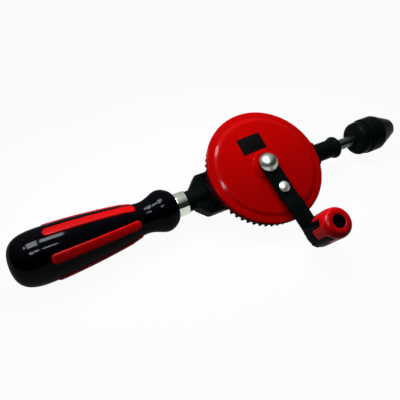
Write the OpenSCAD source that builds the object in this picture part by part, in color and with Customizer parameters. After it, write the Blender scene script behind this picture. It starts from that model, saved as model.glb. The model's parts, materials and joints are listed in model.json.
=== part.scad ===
// Eggbeater hand drill: a side wheel with bevel teeth turns a spindle with a hand-tightened chuck.
// Millimetres. The model is laid out with +X along the spindle towards the chuck and +Z along the wheel's
// axle, from the point where the two axes cross. It is then rolled over to lie on a bench, +Z up, with the
// origin at the mouth of the chuck.

/* [Gears] */
// Teeth on the wheel
wheel_teeth = 60; // [48:2:72]
// Teeth on each pinion
pinion_teeth = 15; // [13:1:18]
// Size of the teeth at their outer ends
gear_module = 1.46; // [1.2:0.02:1.6]
// Pressure angle of the teeth
pressure_angle = 20; // [18:1:25]
// Length of the teeth along the cone
tooth_length = 9; // [6:0.5:11]
// Play between meshing teeth, along the pitch circle
backlash = 0.3; // [0.2:0.05:0.5]
// Height of the wheel's teeth above the pitch cone, in modules
wheel_addendum = 0.8; // [0.6:0.05:0.9]
// Height of the pinions' teeth above the pitch cone, in modules
pinion_addendum = 1; // [0.7:0.05:1]
// Gap at the bottom of a tooth space, in modules
root_gap = 0.25; // [0.2:0.05:0.4]

/* [Wheel] */
// How far the rim reaches past the pitch circle
rim_lip = 1.2; // [0.8:0.1:5]
// Thickness of the rim's lip
rim_thickness = 3.2; // [2:0.2:4]
// Depth from the rim's front to the pitch circle of the teeth
wheel_depth = 9.4; // [7:0.2:12]
// Rounding of the rim's edges
rim_round = 0.9; // [0.4:0.1:1]
// Width of the flat border inside the rim
border_w = 5.6; // [3:0.2:8]
// Width of the bevel from the border up to the raised middle
bevel_w = 2; // [0.6:0.1:3]
// How far the middle of the wheel stands above its border
face_rise = 1; // [0.5:0.1:2]
// Thickness of the wheel's web
web_t = 5; // [3:0.25:6]
// Radius of the raised seat under the crank arm
seat_r = 10.5; // [8:0.25:13]
// Height of that seat above the face
seat_rise = 1.3; // [0.8:0.1:2.5]
// Fillet around that seat
seat_fillet = 0.6; // [0.2:0.1:0.8]
// Radius of the hub at the wheel's back
wheel_hub_r = 11; // [9:0.25:14]

/* [Axle] */
// Diameter of the axle
axle_d = 8; // [6:0.5:10]
// Diameter of the axle's domed head
axle_head_d = 15; // [12:0.5:18]
// Height of the axle's domed head
axle_head_h = 5.4; // [3:0.2:7]
// Thickness of the washer between the wheel and the frame
wheel_washer_t = 1; // [0.6:0.1:2]
// Radius of that washer
wheel_washer_r = 9.5; // [8:0.25:11]
// Width across the flats of the axle's nut
nut_flats = 13; // [10:0.5:16]
// Thickness of the axle's nut
nut_t = 4; // [3:0.25:5]
// How far the axle stands out of its nut
axle_tail = 1; // [0.4:0.1:3]
// Thickness of the washer under the nut
nut_washer_t = 1; // [0.6:0.1:1.6]
// Radius of the washer under the nut
nut_washer_r = 8; // [7:0.25:10]

/* [Crank] */
// Distance from the axle to the knob
crank_r = 60.7; // [54:0.5:75]
// Direction in which the crank points at rest
crank_angle = -84; // [-95:1:-75]
// Width of the arm
arm_w = 13; // [10:0.5:16]
// Thickness of the arm
arm_t = 2.8; // [2:0.2:4]
// Height of the step in the arm
arm_step = 1.4; // [0.6:0.2:3]
// Distance from the axle to the start of the step
step_start = 28; // [26:0.5:34]
// Length of the step
step_length = 8; // [4:0.5:12]
// Distance from the axle to the rivet that drives the wheel
rivet_place = 21; // [16:0.5:23]
// Diameter of that rivet's shank
rivet_d = 4.4; // [3:0.2:6]
// Diameter of that rivet's head
rivet_head_d = 8.2; // [6:0.2:10]
// Height of that rivet's head
rivet_head_h = 2.3; // [1.5:0.1:3]
// Radius of the pad under the arm, at the rivet
rivet_pad_r = 5.5; // [5:0.1:6]
// Diameter of the rivet's flat head behind the wheel
rivet_tail_d = 7.2; // [6:0.2:8]
// Thickness of that flat head
rivet_tail_t = 1.2; // [0.8:0.1:2]

/* [Knob] */
// Diameter of the knob
knob_d = 21; // [17:0.5:26]
// Length of the red body
knob_length = 27; // [22:0.5:36]
// Height of the black base
knob_base_h = 3.6; // [2.5:0.2:6]
// Diameter of the base where it meets the arm
knob_base_d = 17; // [14:0.5:20]
// Diameter of the hole in the knob's end
knob_hole_d = 8.6; // [8.2:0.1:11]
// Rounding of that hole's edge
knob_hole_round = 0.8; // [0.3:0.1:1.2]
// Depth of that hole
knob_hole_depth = 10; // [6:0.5:14]
// Rounding of the knob's end
knob_round = 4; // [2:0.25:5]
// Radius of the tube inside the red body
tube_r = 6.3; // [6:0.1:7]
// Bevel around the bottom of the red body
knob_bevel = 0.4; // [0.2:0.1:1]
// Number of black ribs on the knob
rib_count = 5; // [3:1:7]
// Width of a rib
rib_w = 5.6; // [4:0.2:7]
// Length of a rib
rib_length = 18; // [7:0.5:20]
// How far the ribs stand out of the red body
rib_rise = 0.4; // [0.1:0.05:0.8]
// Rounding of a rib's corners
rib_round = 2; // [1:0.1:2]
// Direction of the first rib
rib_turn = 9; // [0:1:72]
// Diameter of the knob's pin
pin_d = 6; // [5:0.25:7]
// Diameter of the pin where it is riveted into the arm
pin_foot_d = 5; // [4:0.25:6]
// Diameter of the pin's head
pin_head_d = 7.8; // [7:0.1:8]
// Thickness of the pin's head
pin_head_t = 2; // [1:0.2:3]

/* [Frame] */
// Thickness of the rails beside the pinions
rail_w = 3; // [2:0.25:5]
// Thickness of the frame across the rails
frame_t = 12; // [9:0.5:12.5]
// Rounding of the frame's long edges
frame_round = 2.5; // [1:0.25:4]
// Room between a pinion and the rails
window_room = 0.5; // [0.4:0.1:2]
// Length of the straight rails past the windows
rail_run = 0.8; // [0.5:0.1:6]
// Length of the sloping shoulders
shoulder_run = 8; // [5:0.5:14]
// Rounding of the shoulders' corners
corner_round = 3; // [1:0.25:5]
// Radius of the barrel through the middle and the rear
barrel_r = 7.65; // [7:0.05:8.2]
// Metal between the axle and the holes along the barrel
axle_wall = 6; // [4:0.5:8]
// Radius of the hub around the axle
frame_hub_r = 11; // [9:0.25:13]
// How far the hub stands past the barrel, on each side
hub_rise = 0.5; // [0.2:0.1:0.9]
// Length of the rear boss behind its window
rear_boss_length = 18.7; // [14:0.1:28]
// Rise of the flange at the rear boss's end
rear_flange_rise = 0.7; // [0.3:0.1:1.2]
// Width of that flange
rear_flange_w = 1.8; // [1:0.1:4]
// Wall of the front boss around its bush
front_boss_wall = 1.6; // [1:0.1:3]
// Length of the front boss behind its collar
front_boss_length = 26.5; // [20:0.5:40]
// Rise of the collar at the front boss's end
collar_rise = 1.5; // [0.8:0.1:3]
// Length of that collar
collar_length = 4; // [3:0.5:12]

/* [Spindle] */
// Diameter of the spindle
spindle_d = 9; // [8:0.25:10]
// Diameter of the spindle's tail, in the pinion
tail_d = 8; // [6:0.25:8]
// Wall of the bushes
bush_wall = 1.3; // [1:0.1:2]
// Length of the spindle between the collar and the chuck
spindle_show = 20.6; // [6:0.2:26]
// Diameter of the spindle's end in the chuck
spindle_end_d = 8; // [7:0.25:8]
// Length of the spindle's end in the chuck
spindle_end_length = 9.6; // [7:0.2:12]
// Diameter of the pinion's cross pin
cross_pin_d = 2; // [1.5:0.1:2.4]
// Thickness of the washers at the pinions' small ends
thrust_washer_t = 1; // [0.6:0.1:1.5]
// Radius of the pinions' small hubs
pinion_hub_r = 6.6; // [6:0.1:7]
// Length of the pinions' small hubs
pinion_toe = 2.3; // [1.5:0.1:4]
// Length of the drive pinion's large hub
pinion_heel = 3.6; // [3.4:0.1:6]
// Length of the idler pinion's large hub
idler_heel = 0.4; // [0.2:0.1:3]

/* [Handle] */
// Greatest radius of the handle
handle_r = 18.7; // [15:0.1:22]
// Radius where the grip runs into the waist
neck_r = 13.8; // [12.4:0.2:15]
// Radius of the waist
waist_r = 11.6; // [10:0.2:12.2]
// Radius of the front collar
handle_collar_r = 15.6; // [13:0.1:18]
// Radius of the handle's front face
handle_front_r = 9.8; // [9.4:0.1:12]
// Length from the butt to the widest place
butt_length = 21.5; // [15:0.5:30]
// Length from the widest place to the start of the waist
grip_length = 57; // [45:0.5:80]
// Length from there to the waist
waist_length = 12; // [8:0.5:20]
// Length from the waist to the front collar
collar_slope = 15.5; // [10:0.5:22]
// Length from the front collar to the handle's front face
front_slope = 9.9; // [6:0.5:14]
// Number of red strips
strip_count = 6; // [4:1:8]
// Distance from the widest place to the rear end of the strips
strip_start = 4; // [1:0.5:10]
// Length of the strips
strip_length = 62.5; // [40:0.5:70]
// Width of a strip at its rear end
strip_rear_w = 7; // [5:0.25:9]
// Width of a strip at its front end
strip_front_w = 5; // [3:0.25:6]
// How far the strips stand above the handle
strip_rise = 0.9; // [0.4:0.1:1.5]
// How deep the strips are set into the handle
strip_depth = 1.2; // [0.8:0.1:2]
// Outer radius of the ferrule
ferrule_r = 9; // [8:0.1:9.4]
// Wall of the ferrule
ferrule_wall = 1.2; // [0.8:0.1:1.6]
// Length of the ferrule
ferrule_length = 7.5; // [6:0.5:16]
// Diameter of the steel rod that joins the handle to the frame
tang_d = 8; // [6:0.25:9]
// Length of that rod in the handle
tang_length = 75; // [40:1:100]

/* [Chuck] */
// Radius of the chuck's sleeve
sleeve_r = 15; // [13:0.25:18]
// Length of the sleeve's straight part
sleeve_length = 12.4; // [11:0.2:26]
// Length of the sleeve's cone
cone_length = 17.7; // [16:0.1:26]
// Wall of the sleeve
sleeve_wall = 2; // [1.6:0.1:2.4]
// Thickness of the lip inside the sleeve's rear end
sleeve_lip = 2; // [1.6:0.1:3]
// Bevel of the chuck's edges
chuck_bevel = 0.6; // [0.2:0.1:1]
// Radius of the stem that the sleeve turns on
stem_r = 9.2; // [8.6:0.1:9.6]
// Thickness of the clip that holds the sleeve
clip_t = 1.2; // [0.8:0.1:1.6]
// Depth of the clip's groove in the stem
clip_depth = 0.9; // [0.6:0.1:1.2]
// How far the clip stands out of the stem
clip_rise = 1.5; // [1:0.1:1.8]
// Radius of the sleeve's front edge
nose_r = 7.4; // [7:0.1:9]
// Rounding of the sleeve's front edge
nose_round = 0.8; // [0.3:0.1:1.5]
// Radius of the sleeve's mouth
mouth_r = 4.9; // [4.7:0.1:5.4]
// Radius of the rear ring
ring_r = 14; // [11:0.1:16]
// Length of the rear ring
ring_length = 8.6; // [8:0.2:16]
// Rounding of the rear ring
ring_round = 4; // [2:0.25:7]
// Gap between the ring and the sleeve
ring_gap = 1; // [0.4:0.1:2]
// Shank that the jaws are set for at rest
shank_d = 5; // [4.6:0.1:5.4]
// Smallest shank that the chuck takes
smallest_d = 1.6; // [1.4:0.1:2]
// Radius of a jaw
jaw_r = 2.8; // [2.6:0.05:3]
// Depth of the grooves in the cone that guide the jaws
groove_depth = 0.6; // [0.3:0.1:0.8]
// Length of a jaw
jaw_length = 13.5; // [12:0.25:18]
// Width of the tongue at a jaw's rear end
tongue_w = 2.4; // [2:0.1:2.8]
// Width of the tongue's head
tongue_head_w = 4.4; // [4:0.1:4.8]
// Thickness of the tongue's head, and of its neck
tongue_t = 1.6; // [1.2:0.1:2]
// Radius of the screw that drives the jaws
screw_r = 4; // [3:0.1:4.6]
// Radius of the pusher behind the jaws
pusher_r = 8.2; // [7.6:0.1:8.3]
// Length of the pusher
pusher_length = 8.5; // [8:0.25:14]

/* [Fits] */
// Radial play of a running fit
running_fit = 0.05; // [0.02:0.01:0.1]
// Play of a fit that doesn't move
snug_fit = 0.02; // [0:0.01:0.05]
// End play of a turning part
end_play = 0.15; // [0.1:0.05:0.3]
// Room around the chuck's sliding parts
slide_room = 0.15; // [0.1:0.05:0.2]

/* [Hidden] */
$fn = 64;

over = 1; // how far a cutting shape reaches past what it cuts
tooth_sink = 0.5; // how deep a tooth is rooted in its wheel, along the cone angle's arc

// Pitch cones of the gears, which meet where the axes cross
wheel_pitch_r = gear_module * wheel_teeth / 2;
pinion_pitch_r = gear_module * pinion_teeth / 2;
cone_outer = norm([wheel_pitch_r, pinion_pitch_r]);
cone_inner = cone_outer - tooth_length;
pinion_cone = atan(pinion_teeth / wheel_teeth);
wheel_cone = 90 - pinion_cone;
function height_angle(modules) = atan(modules * gear_module / cone_outer);
wheel_tip = wheel_cone + height_angle(wheel_addendum);
wheel_root = wheel_cone - height_angle(pinion_addendum + root_gap);
pinion_tip = pinion_cone + height_angle(pinion_addendum);
pinion_root = pinion_cone - height_angle(wheel_addendum + root_gap);
pinion_tip_r = cone_outer * sin(pinion_tip);

// Heights along the axle
rim_z = pinion_pitch_r + wheel_depth;
face_z = rim_z + face_rise;
web_back_z = face_z - web_t;
seat_z = face_z + seat_rise;
hub_half = barrel_r + hub_rise;
wheel_back_z = hub_half + wheel_washer_t + end_play;
arm_top_z = seat_z + arm_t;
arm_out_z = seat_z + arm_step;
arm_out_top_z = arm_out_z + arm_t;
knob_foot_z = arm_out_top_z + end_play;
knob_shoulder_z = knob_foot_z + knob_base_h;
knob_end_z = knob_shoulder_z + knob_length;
pin_seat_z = knob_end_z - knob_hole_depth;
nut_z = -hub_half - nut_washer_t;
axle_back_z = nut_z - nut_t - axle_tail;
axle_head_z = arm_top_z + end_play;
rim_r = wheel_pitch_r + rim_lip;
axle_r = axle_d / 2;
wheel_bush_r = axle_r + running_fit + bush_wall;

// Places along the spindle
toe_x = cone_inner * cos(pinion_root);
heel_x = cone_outer * cos(pinion_root);
heel_hub_r = cone_outer * sin(pinion_root);
cross_pin_x = heel_x + pinion_heel / 2;
hub_from = toe_x - pinion_toe;
window_in = hub_from - end_play - thrust_washer_t;
window_out = heel_x + pinion_heel + end_play;
rear_window = heel_x + idler_heel + end_play;
window_half = pinion_tip_r + window_room;
frame_half = window_half + rail_w;
rail_end = window_out + rail_run;
shoulder_end = rail_end + shoulder_run;
rear_end = -rear_window - rear_boss_length;
rod_joint = rear_end + rear_boss_length / 2;
collar_x = window_out + front_boss_length;
front_end = collar_x + collar_length;
spindle_r = spindle_d / 2;
tail_r = tail_d / 2;
tang_r = tang_d / 2;
spindle_bush_r = spindle_r + running_fit + bush_wall;
tail_bush_r = tail_r + running_fit + bush_wall;
front_boss_r = spindle_bush_r + snug_fit + front_boss_wall;
tail_end = axle_r + axle_wall;
chuck_x = front_end + spindle_show;
ring_end = chuck_x + ring_length;
sleeve_x = ring_end + ring_gap;
cone_x = sleeve_x + sleeve_length;
mouth_x = cone_x + cone_length;

// Places along the handle
handle_front = rear_end - ferrule_length;
collar_top = handle_front - front_slope;
waist_x = collar_top - collar_slope;
waist_start = waist_x - waist_length;
widest_x = waist_start - grip_length;
butt_x = widest_x - butt_length;

// The drill lies on its handle, its chuck and the end of the crank arm
axis_height = (handle_r * mouth_x - sleeve_r * widest_x) / (mouth_x - widest_x);
touch_y = crank_r * sin(-crank_angle) + arm_w / 2;
rest_roll = asin(axis_height / norm([touch_y, arm_out_z])) + atan(arm_out_z / touch_y);

// The jaws slide down the inside of the sleeve's cone
cone_slope = (sleeve_r - nose_r) / (cone_length - nose_round);
jaw_angle = atan(cone_slope);
grip_r = shank_d / 2 + running_fit;
jaw_close = grip_r - smallest_d / 2;
jaw_rear = mouth_x - jaw_length;
jaw_apex = jaw_close + slide_room;
jaw_axis_mouth = mouth_r + (groove_depth - jaw_r - slide_room) / cos(jaw_angle);
sleeve_bore = sleeve_r - sleeve_wall;
bore_end = mouth_x - (sleeve_bore - mouth_r) / cone_slope;
clip_x = sleeve_x + sleeve_lip + end_play;
stem_end = clip_x + 2 * clip_t;
pusher_front = jaw_rear - slide_room;
screw_end = pusher_front - tongue_t;
tongue_in = screw_r + jaw_close + 2 * slide_room;

function arc(centre, r, from, to, steps = 6) =
  [for (i = [0:steps]) let (a = from + (to - from) * i / steps) centre + r * [cos(a), sin(a)]];
function curve(a, b, c, d, steps = 8) =
  [for (i = [0:steps]) let (t = i / steps, s = 1 - t)
    s * s * s * a + 3 * s * s * t * b + 3 * s * t * t * c + t * t * t * d];

module lay_down() translate([-mouth_x, 0, 0]) rotate([rest_roll, 0, 0]) children();
module on_crank() rotate([0, 0, crank_angle]) children();
module rod_x(r, from, to) translate([from, 0, 0]) rotate([0, 90, 0]) cylinder(r = r, h = to - from);
module ring_x(outer, inner, from, to) {
  difference() {
    rod_x(outer, from, to);
    rod_x(inner, from - over, to + over);
  }
}
module turned_x(profile) rotate([0, 90, 0]) rotate_extrude() polygon(profile);
module dome(r, h) {
  // A cap of a sphere with its flat side down
  ball = (r * r + h * h) / (2 * h);
  intersection() {
    translate([0, 0, h - ball]) sphere(r = ball);
    cylinder(r = r + over, h = h + over);
  }
}

// One bevel tooth with involute flanks on a sphere around the apex, pointing along +X from the apex
function involute(t, base) = t <= base ? 0
  : acos(cos(t) / cos(base)) / sin(base) - acos(tan(base) / tan(t));
function on_sphere(r, t, turn) = r * [sin(t) * cos(turn), sin(t) * sin(turn), cos(t)];
module bevel_tooth(teeth, cone, root, tip, pitch_r, steps) {
  base = asin(cos(pressure_angle) * sin(cone));
  half_pitch = 90 / teeth - backlash / 4 / pitch_r * 180 / PI;
  sink = tooth_sink / cone_outer * 180 / PI;
  angles = concat([root - sink], [for (i = [1:steps]) root + (tip - root) * i / steps]);
  halves = [for (t = angles) half_pitch + involute(cone, base) - involute(max(t, root), base)];
  n = len(angles);
  points = [for (r = [cone_outer, cone_inner], side = [-1, 1], i = [0:n - 1])
    on_sphere(r, angles[i], side * halves[i])];
  outer_end = [for (i = [0:n - 2]) [i, n + i, n + i + 1, i + 1]];
  inner_end = [for (i = [0:n - 2]) [2 * n + i, 2 * n + i + 1, 3 * n + i + 1, 3 * n + i]];
  left = [for (i = [0:n - 2]) [i, i + 1, 2 * n + i + 1, 2 * n + i]];
  right = [for (i = [0:n - 2]) [n + i + 1, n + i, 3 * n + i, 3 * n + i + 1]];
  top = [n - 1, 2 * n - 1, 4 * n - 1, 3 * n - 1];
  bottom = [n, 0, 2 * n, 3 * n];
  polyhedron(points, concat(outer_end, inner_end, left, right, [top, bottom]));
}

// A pinion around +Z with its apex at the origin, and a tooth space in the direction given
module pinion_blank(heel) {
  toe_r = cone_inner * sin(pinion_root);
  rotate_extrude()
    polygon([[0, hub_from], [pinion_hub_r, hub_from], [pinion_hub_r, toe_x], [toe_r, toe_x],
      [heel_hub_r, heel_x], [heel_hub_r, heel_x + heel], [0, heel_x + heel]]);
}
module pinion(space_at, heel) {
  pitch = 360 / pinion_teeth;
  pinion_blank(heel);
  for (i = [0:pinion_teeth - 1])
    rotate([0, 0, space_at + (i + 0.5) * pitch])
      bevel_tooth(pinion_teeth, pinion_cone, pinion_root, pinion_tip, pinion_pitch_r, 4);
}

// Radius of the handle against its place, as an outline from the butt to the front face
function handle_outline(grow) = [for (p = concat(
    curve([butt_x, 0], [butt_x, 0.77 * handle_r], [widest_x - 0.7 * butt_length, handle_r],
      [widest_x, handle_r], 10),
    curve([widest_x, handle_r], [widest_x + 0.3 * grip_length, handle_r],
      [waist_start - 0.25 * grip_length, neck_r + 0.45 * (handle_r - neck_r)], [waist_start, neck_r], 12),
    curve([waist_start, neck_r], [waist_start + 0.35 * waist_length, (neck_r + waist_r) / 2],
      [waist_x - 0.35 * waist_length, waist_r], [waist_x, waist_r], 6),
    curve([waist_x, waist_r], [waist_x + 0.45 * collar_slope, waist_r],
      [collar_top - 0.3 * collar_slope, handle_collar_r], [collar_top, handle_collar_r], 8),
    curve([collar_top, handle_collar_r], [collar_top + 0.4 * front_slope, handle_collar_r],
      [handle_front - 0.15 * front_slope, (handle_collar_r + handle_front_r) / 2],
      [handle_front, handle_front_r], 8)))
  [max(p[1] + grow, 0), p[0]]];
module handle_solid(grow) {
  turned_x(concat([[0, butt_x]], handle_outline(grow), [[0, handle_front]]));
}
module strip_outline() {
  rear = widest_x + strip_start + strip_rear_w / 2;
  front = widest_x + strip_start + strip_length - strip_front_w / 2;
  translate([rear, 0]) circle(d = strip_rear_w);
  translate([front, 0]) circle(d = strip_front_w);
  polygon([[rear, -strip_rear_w / 2], [front, -strip_front_w / 2],
    [front, strip_front_w / 2], [rear, strip_rear_w / 2]]);
}
module strip_shafts() {
  for (i = [0:strip_count - 1])
    rotate([i * 360 / strip_count + 90, 0, 0])
      translate([0, 0, waist_r / 2]) linear_extrude(handle_r + strip_rise) strip_outline();
}

module handle_core() {
  color("#12131c") difference() {
    union() {
      handle_solid(0);
      rod_x(ferrule_r - ferrule_wall - snug_fit, handle_front - over, rear_end - end_play);
    }
    difference() {
      strip_shafts();
      handle_solid(-strip_depth);
    }
    rod_x(tang_r, handle_front - tang_length, rear_end + over);
  }
}

module grip_strips() {
  color("#c81420") difference() {
    intersection() {
      strip_shafts();
      handle_solid(strip_rise);
    }
    handle_solid(-strip_depth);
  }
}

module ferrule() {
  color("#c8ccc4") ring_x(ferrule_r, ferrule_r - ferrule_wall, handle_front, rear_end);
}

module handle_tang() {
  color("#8c9096") rod_x(tang_r, handle_front - tang_length, rod_joint);
}

// Half of the frame's outline in plan, from the middle towards +X, with rounded shoulder corners
function frame_side() =
  let (slope = atan((frame_half - barrel_r) / shoulder_run),
    back = corner_round * tan(slope / 2),
    c = [rail_end - back, frame_half - corner_round])
  concat(arc(c, corner_round, 90, 90 - slope), [[shoulder_end, barrel_r]]);
module frame_plan() {
  quarter = frame_side();
  n = len(quarter) - 1;
  polygon(concat(quarter, [for (i = [n:-1:0]) [quarter[i][0], -quarter[i][1]]],
    [for (p = quarter) -p], [for (i = [n:-1:0]) [-quarter[i][0], quarter[i][1]]]));
}
module frame_section() {
  // Across the rails, with rounded edges
  y = frame_half - frame_round;
  z = frame_t / 2 - frame_round;
  square([2 * y, frame_t], center = true);
  square([2 * frame_half, 2 * z], center = true);
  for (a = [-1, 1], b = [-1, 1]) translate([a * y, b * z]) circle(r = frame_round);
}
module frame_body() {
  intersection() {
    linear_extrude(frame_t, center = true) frame_plan();
    rotate([90, 0, 90]) linear_extrude(4 * shoulder_end, center = true) frame_section();
  }
  rod_x(barrel_r, rear_end, window_out);
  rod_x(barrel_r + rear_flange_rise, rear_end, rear_end + rear_flange_w);
  rod_x(front_boss_r, window_out, front_end);
  round = collar_rise;
  r = front_boss_r + collar_rise;
  turned_x(concat([[0, collar_x]], [for (p = arc([r - round, collar_x + round], round, -90, 0)) p],
    [for (p = arc([r - round, front_end - round], round, 0, 90)) p], [[0, front_end]]));
  translate([0, 0, -hub_half]) cylinder(r = frame_hub_r, h = 2 * hub_half);
}

module pinion_window(end) {
  // Narrows towards the axle with the pinion's teeth
  heel = cone_outer * cos(pinion_tip);
  side = [[window_in, window_in * tan(pinion_tip) + window_room], [heel, window_half], [end, window_half]];
  linear_extrude(3 * barrel_r, center = true)
    polygon(concat(side, [for (i = [2:-1:0]) [side[i][0], -side[i][1]]]));
}
module frame() {
  color("#17191b") difference() {
    frame_body();
    pinion_window(window_out);
    rotate([0, 0, 180]) pinion_window(rear_window);
    cylinder(r = axle_r + snug_fit, h = 4 * hub_half, center = true);
    rod_x(spindle_bush_r + snug_fit, window_out - over, front_end + over);
    rod_x(tail_bush_r + snug_fit, tail_end, window_in + over);
    rod_x(tang_r, -window_in - over, -tail_end);
    rod_x(tang_r, rear_end - over, -rear_window + over);
  }
}

module spindle_bush() {
  color("#b08d57") ring_x(spindle_bush_r, spindle_r + running_fit, window_out, front_end);
}

module tail_bush() {
  color("#b08d57") ring_x(tail_bush_r, tail_r + running_fit, tail_end, window_in);
}

module idler_stud() {
  color("#8c9096") rod_x(tang_r, rod_joint + end_play, -tail_end);
}

module axle_bolt() {
  color("#d4d7da") {
    translate([0, 0, axle_back_z]) cylinder(r = axle_r, h = axle_head_z - axle_back_z);
    translate([0, 0, axle_head_z]) dome(axle_head_d / 2, axle_head_h);
  }
}

module axle_nut() {
  color("#9a9ea3") translate([0, 0, nut_z - nut_t]) difference() {
    cylinder(d = nut_flats / cos(30), h = nut_t, $fn = 6);
    translate([0, 0, -over]) cylinder(r = axle_r + snug_fit, h = nut_t + 2 * over);
  }
}

module washer(r, hole, t) {
  difference() {
    cylinder(r = r, h = t);
    translate([0, 0, -over]) cylinder(r = hole, h = t + 2 * over);
  }
}

module axle_washer() {
  color("#9a9ea3") translate([0, 0, nut_z]) washer(nut_washer_r, axle_r + snug_fit, nut_washer_t);
}

module wheel_washer() {
  color("#a8a397") translate([0, 0, hub_half]) washer(wheel_washer_r, axle_r + snug_fit, wheel_washer_t);
}

module wheel_blank() {
  ring_in = cone_inner * sin(wheel_root) - tooth_sink;
  ring_out = cone_outer * sin(wheel_root) + tooth_sink;
  lip_back = rim_z - rim_thickness;
  rotate_extrude()
    polygon(concat(
      [[wheel_bush_r + snug_fit, wheel_back_z], [wheel_hub_r, wheel_back_z], [wheel_hub_r, web_back_z],
        [ring_in, web_back_z], [ring_in, ring_in / tan(wheel_root)], [ring_out, ring_out / tan(wheel_root)],
        [ring_out, lip_back]],
      arc([rim_r - rim_round, lip_back + rim_round], rim_round, -90, 0, 3),
      arc([rim_r - rim_round, rim_z - rim_round], rim_round, 0, 90, 4),
      [[rim_r - border_w, rim_z], [rim_r - border_w - bevel_w, face_z]],
      [[seat_r + seat_fillet, face_z], [seat_r, face_z + seat_fillet], [seat_r, seat_z],
        [wheel_bush_r + snug_fit, seat_z]]));
}
module gear_wheel() {
  color("#b4101a") difference() {
    union() {
      wheel_blank();
      on_crank() translate([rivet_place, 0, face_z - over]) cylinder(r = rivet_pad_r, h = seat_rise + over);
      for (i = [0:wheel_teeth - 1])
        rotate([0, 0, i * 360 / wheel_teeth])
          bevel_tooth(wheel_teeth, wheel_cone, wheel_root, wheel_tip, wheel_pitch_r, 2);
    }
    on_crank() translate([rivet_place, 0, 0]) cylinder(d = rivet_d + 2 * snug_fit, h = seat_z + over);
  }
}

module wheel_bush() {
  color("#b08d57") translate([0, 0, wheel_back_z])
    washer(wheel_bush_r, axle_r + running_fit, seat_z - wheel_back_z);
}

module arm_plan() {
  circle(d = arm_w);
  translate([crank_r, 0]) circle(d = arm_w);
  translate([0, -arm_w / 2]) square([crank_r, arm_w]);
}
module crank_arm() {
  far = crank_r + arm_w;
  step_end = step_start + step_length;
  color("#141618") on_crank() difference() {
    intersection() {
      translate([0, 0, seat_z]) linear_extrude(arm_step + arm_t) arm_plan();
      rotate([90, 0, 0]) linear_extrude(2 * arm_w, center = true)
        polygon([[-arm_w, seat_z], [step_start, seat_z], [step_end, arm_out_z], [far, arm_out_z],
          [far, arm_out_top_z], [step_end, arm_out_top_z], [step_start, arm_top_z], [-arm_w, arm_top_z]]);
    }
    cylinder(r = axle_r + 2 * running_fit, h = 2 * arm_top_z);
    translate([rivet_place, 0, 0]) cylinder(d = rivet_d + 2 * snug_fit, h = 2 * arm_top_z);
    translate([crank_r, 0, 0]) cylinder(d = pin_foot_d + 2 * snug_fit, h = 2 * arm_out_top_z);
  }
}

module drive_rivet() {
  color("#d4d7da") on_crank() translate([rivet_place, 0, 0]) {
    translate([0, 0, web_back_z - rivet_tail_t]) {
      cylinder(d = rivet_d, h = arm_top_z - web_back_z + rivet_tail_t);
      cylinder(d = rivet_tail_d, h = rivet_tail_t);
    }
    translate([0, 0, arm_top_z]) dome(rivet_head_d / 2, rivet_head_h);
  }
}

module at_knob() on_crank() translate([crank_r, 0, 0]) children();

module knob_pin() {
  color("#9a9ea3") at_knob() {
    translate([0, 0, arm_out_z]) cylinder(d = pin_foot_d, h = arm_t);
    translate([0, 0, arm_out_top_z]) cylinder(d = pin_d, h = pin_seat_z + end_play - arm_out_top_z);
    translate([0, 0, pin_seat_z + end_play]) cylinder(d = pin_head_d, h = pin_head_t);
  }
}

module knob_ribs(reach) {
  // Ribs with rounded corners that stand on the base, between the tongues of the red body
  height = rib_length - rib_round;
  inner_w = rib_w - 2 * rib_round;
  for (i = [0:rib_count - 1])
    rotate([90, 0, rib_turn + i * 360 / rib_count + 90])
      translate([0, knob_shoulder_z, tube_r - over]) linear_extrude(reach - tube_r + over) {
        translate([-rib_w / 2, -over]) square([rib_w, height + over]);
        translate([-inner_w / 2, 0]) square([inner_w, rib_length]);
        for (side = [-1, 1]) translate([side * inner_w / 2, height]) circle(r = rib_round);
      }
}
module knob_core() {
  color("#16171c") at_knob() rotate([0, 0, -crank_angle]) difference() {
    union() {
      rotate_extrude() polygon([[0, knob_foot_z], [knob_base_d / 2, knob_foot_z],
        [knob_d / 2 - knob_bevel, knob_shoulder_z], [tube_r, knob_shoulder_z], [tube_r, pin_seat_z],
        [0, pin_seat_z]]);
      intersection() {
        knob_ribs(knob_d / 2 + over);
        cylinder(r = knob_d / 2 + rib_rise, h = 2 * knob_end_z);
      }
    }
    cylinder(d = pin_d + 2 * running_fit, h = 2 * knob_end_z);
  }
}

module knob_grip() {
  color("#d41826") at_knob() rotate([0, 0, -crank_angle]) difference() {
    rotate_extrude() polygon(concat(
      [[tube_r + snug_fit, knob_shoulder_z], [knob_d / 2 - knob_bevel, knob_shoulder_z]],
      arc([knob_d / 2 - knob_round, knob_end_z - knob_round], knob_round, 0, 90, 8),
      arc([knob_hole_d / 2 + knob_hole_round, knob_end_z - knob_hole_round], knob_hole_round, 90, 180, 3),
      [[knob_hole_d / 2, pin_seat_z], [tube_r + snug_fit, pin_seat_z]]));
    knob_ribs(knob_d / 2 + over);
  }
}

module spindle() {
  color("#7d8388") difference() {
    union() {
      rod_x(tail_r, tail_end + end_play, window_out);
      rod_x(spindle_r, window_out, chuck_x);
      rod_x(spindle_end_d / 2, chuck_x, chuck_x + spindle_end_length);
    }
    cross_pin_hole();
  }
}

module cross_pin_hole() {
  translate([cross_pin_x, 0, 0]) cylinder(d = cross_pin_d + 2 * snug_fit, h = 4 * heel_hub_r, center = true);
}

module drive_pinion() {
  color("#8a8f94") difference() {
    rotate([0, 90, 0]) pinion(180, pinion_heel);
    rod_x(tail_r + snug_fit, 0, window_out);
    cross_pin_hole();
  }
}

module pinion_pin() {
  color("#c9cdd1") translate([cross_pin_x, 0, 0])
    cylinder(d = cross_pin_d, h = 2 * (heel_hub_r - end_play), center = true);
}

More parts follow.
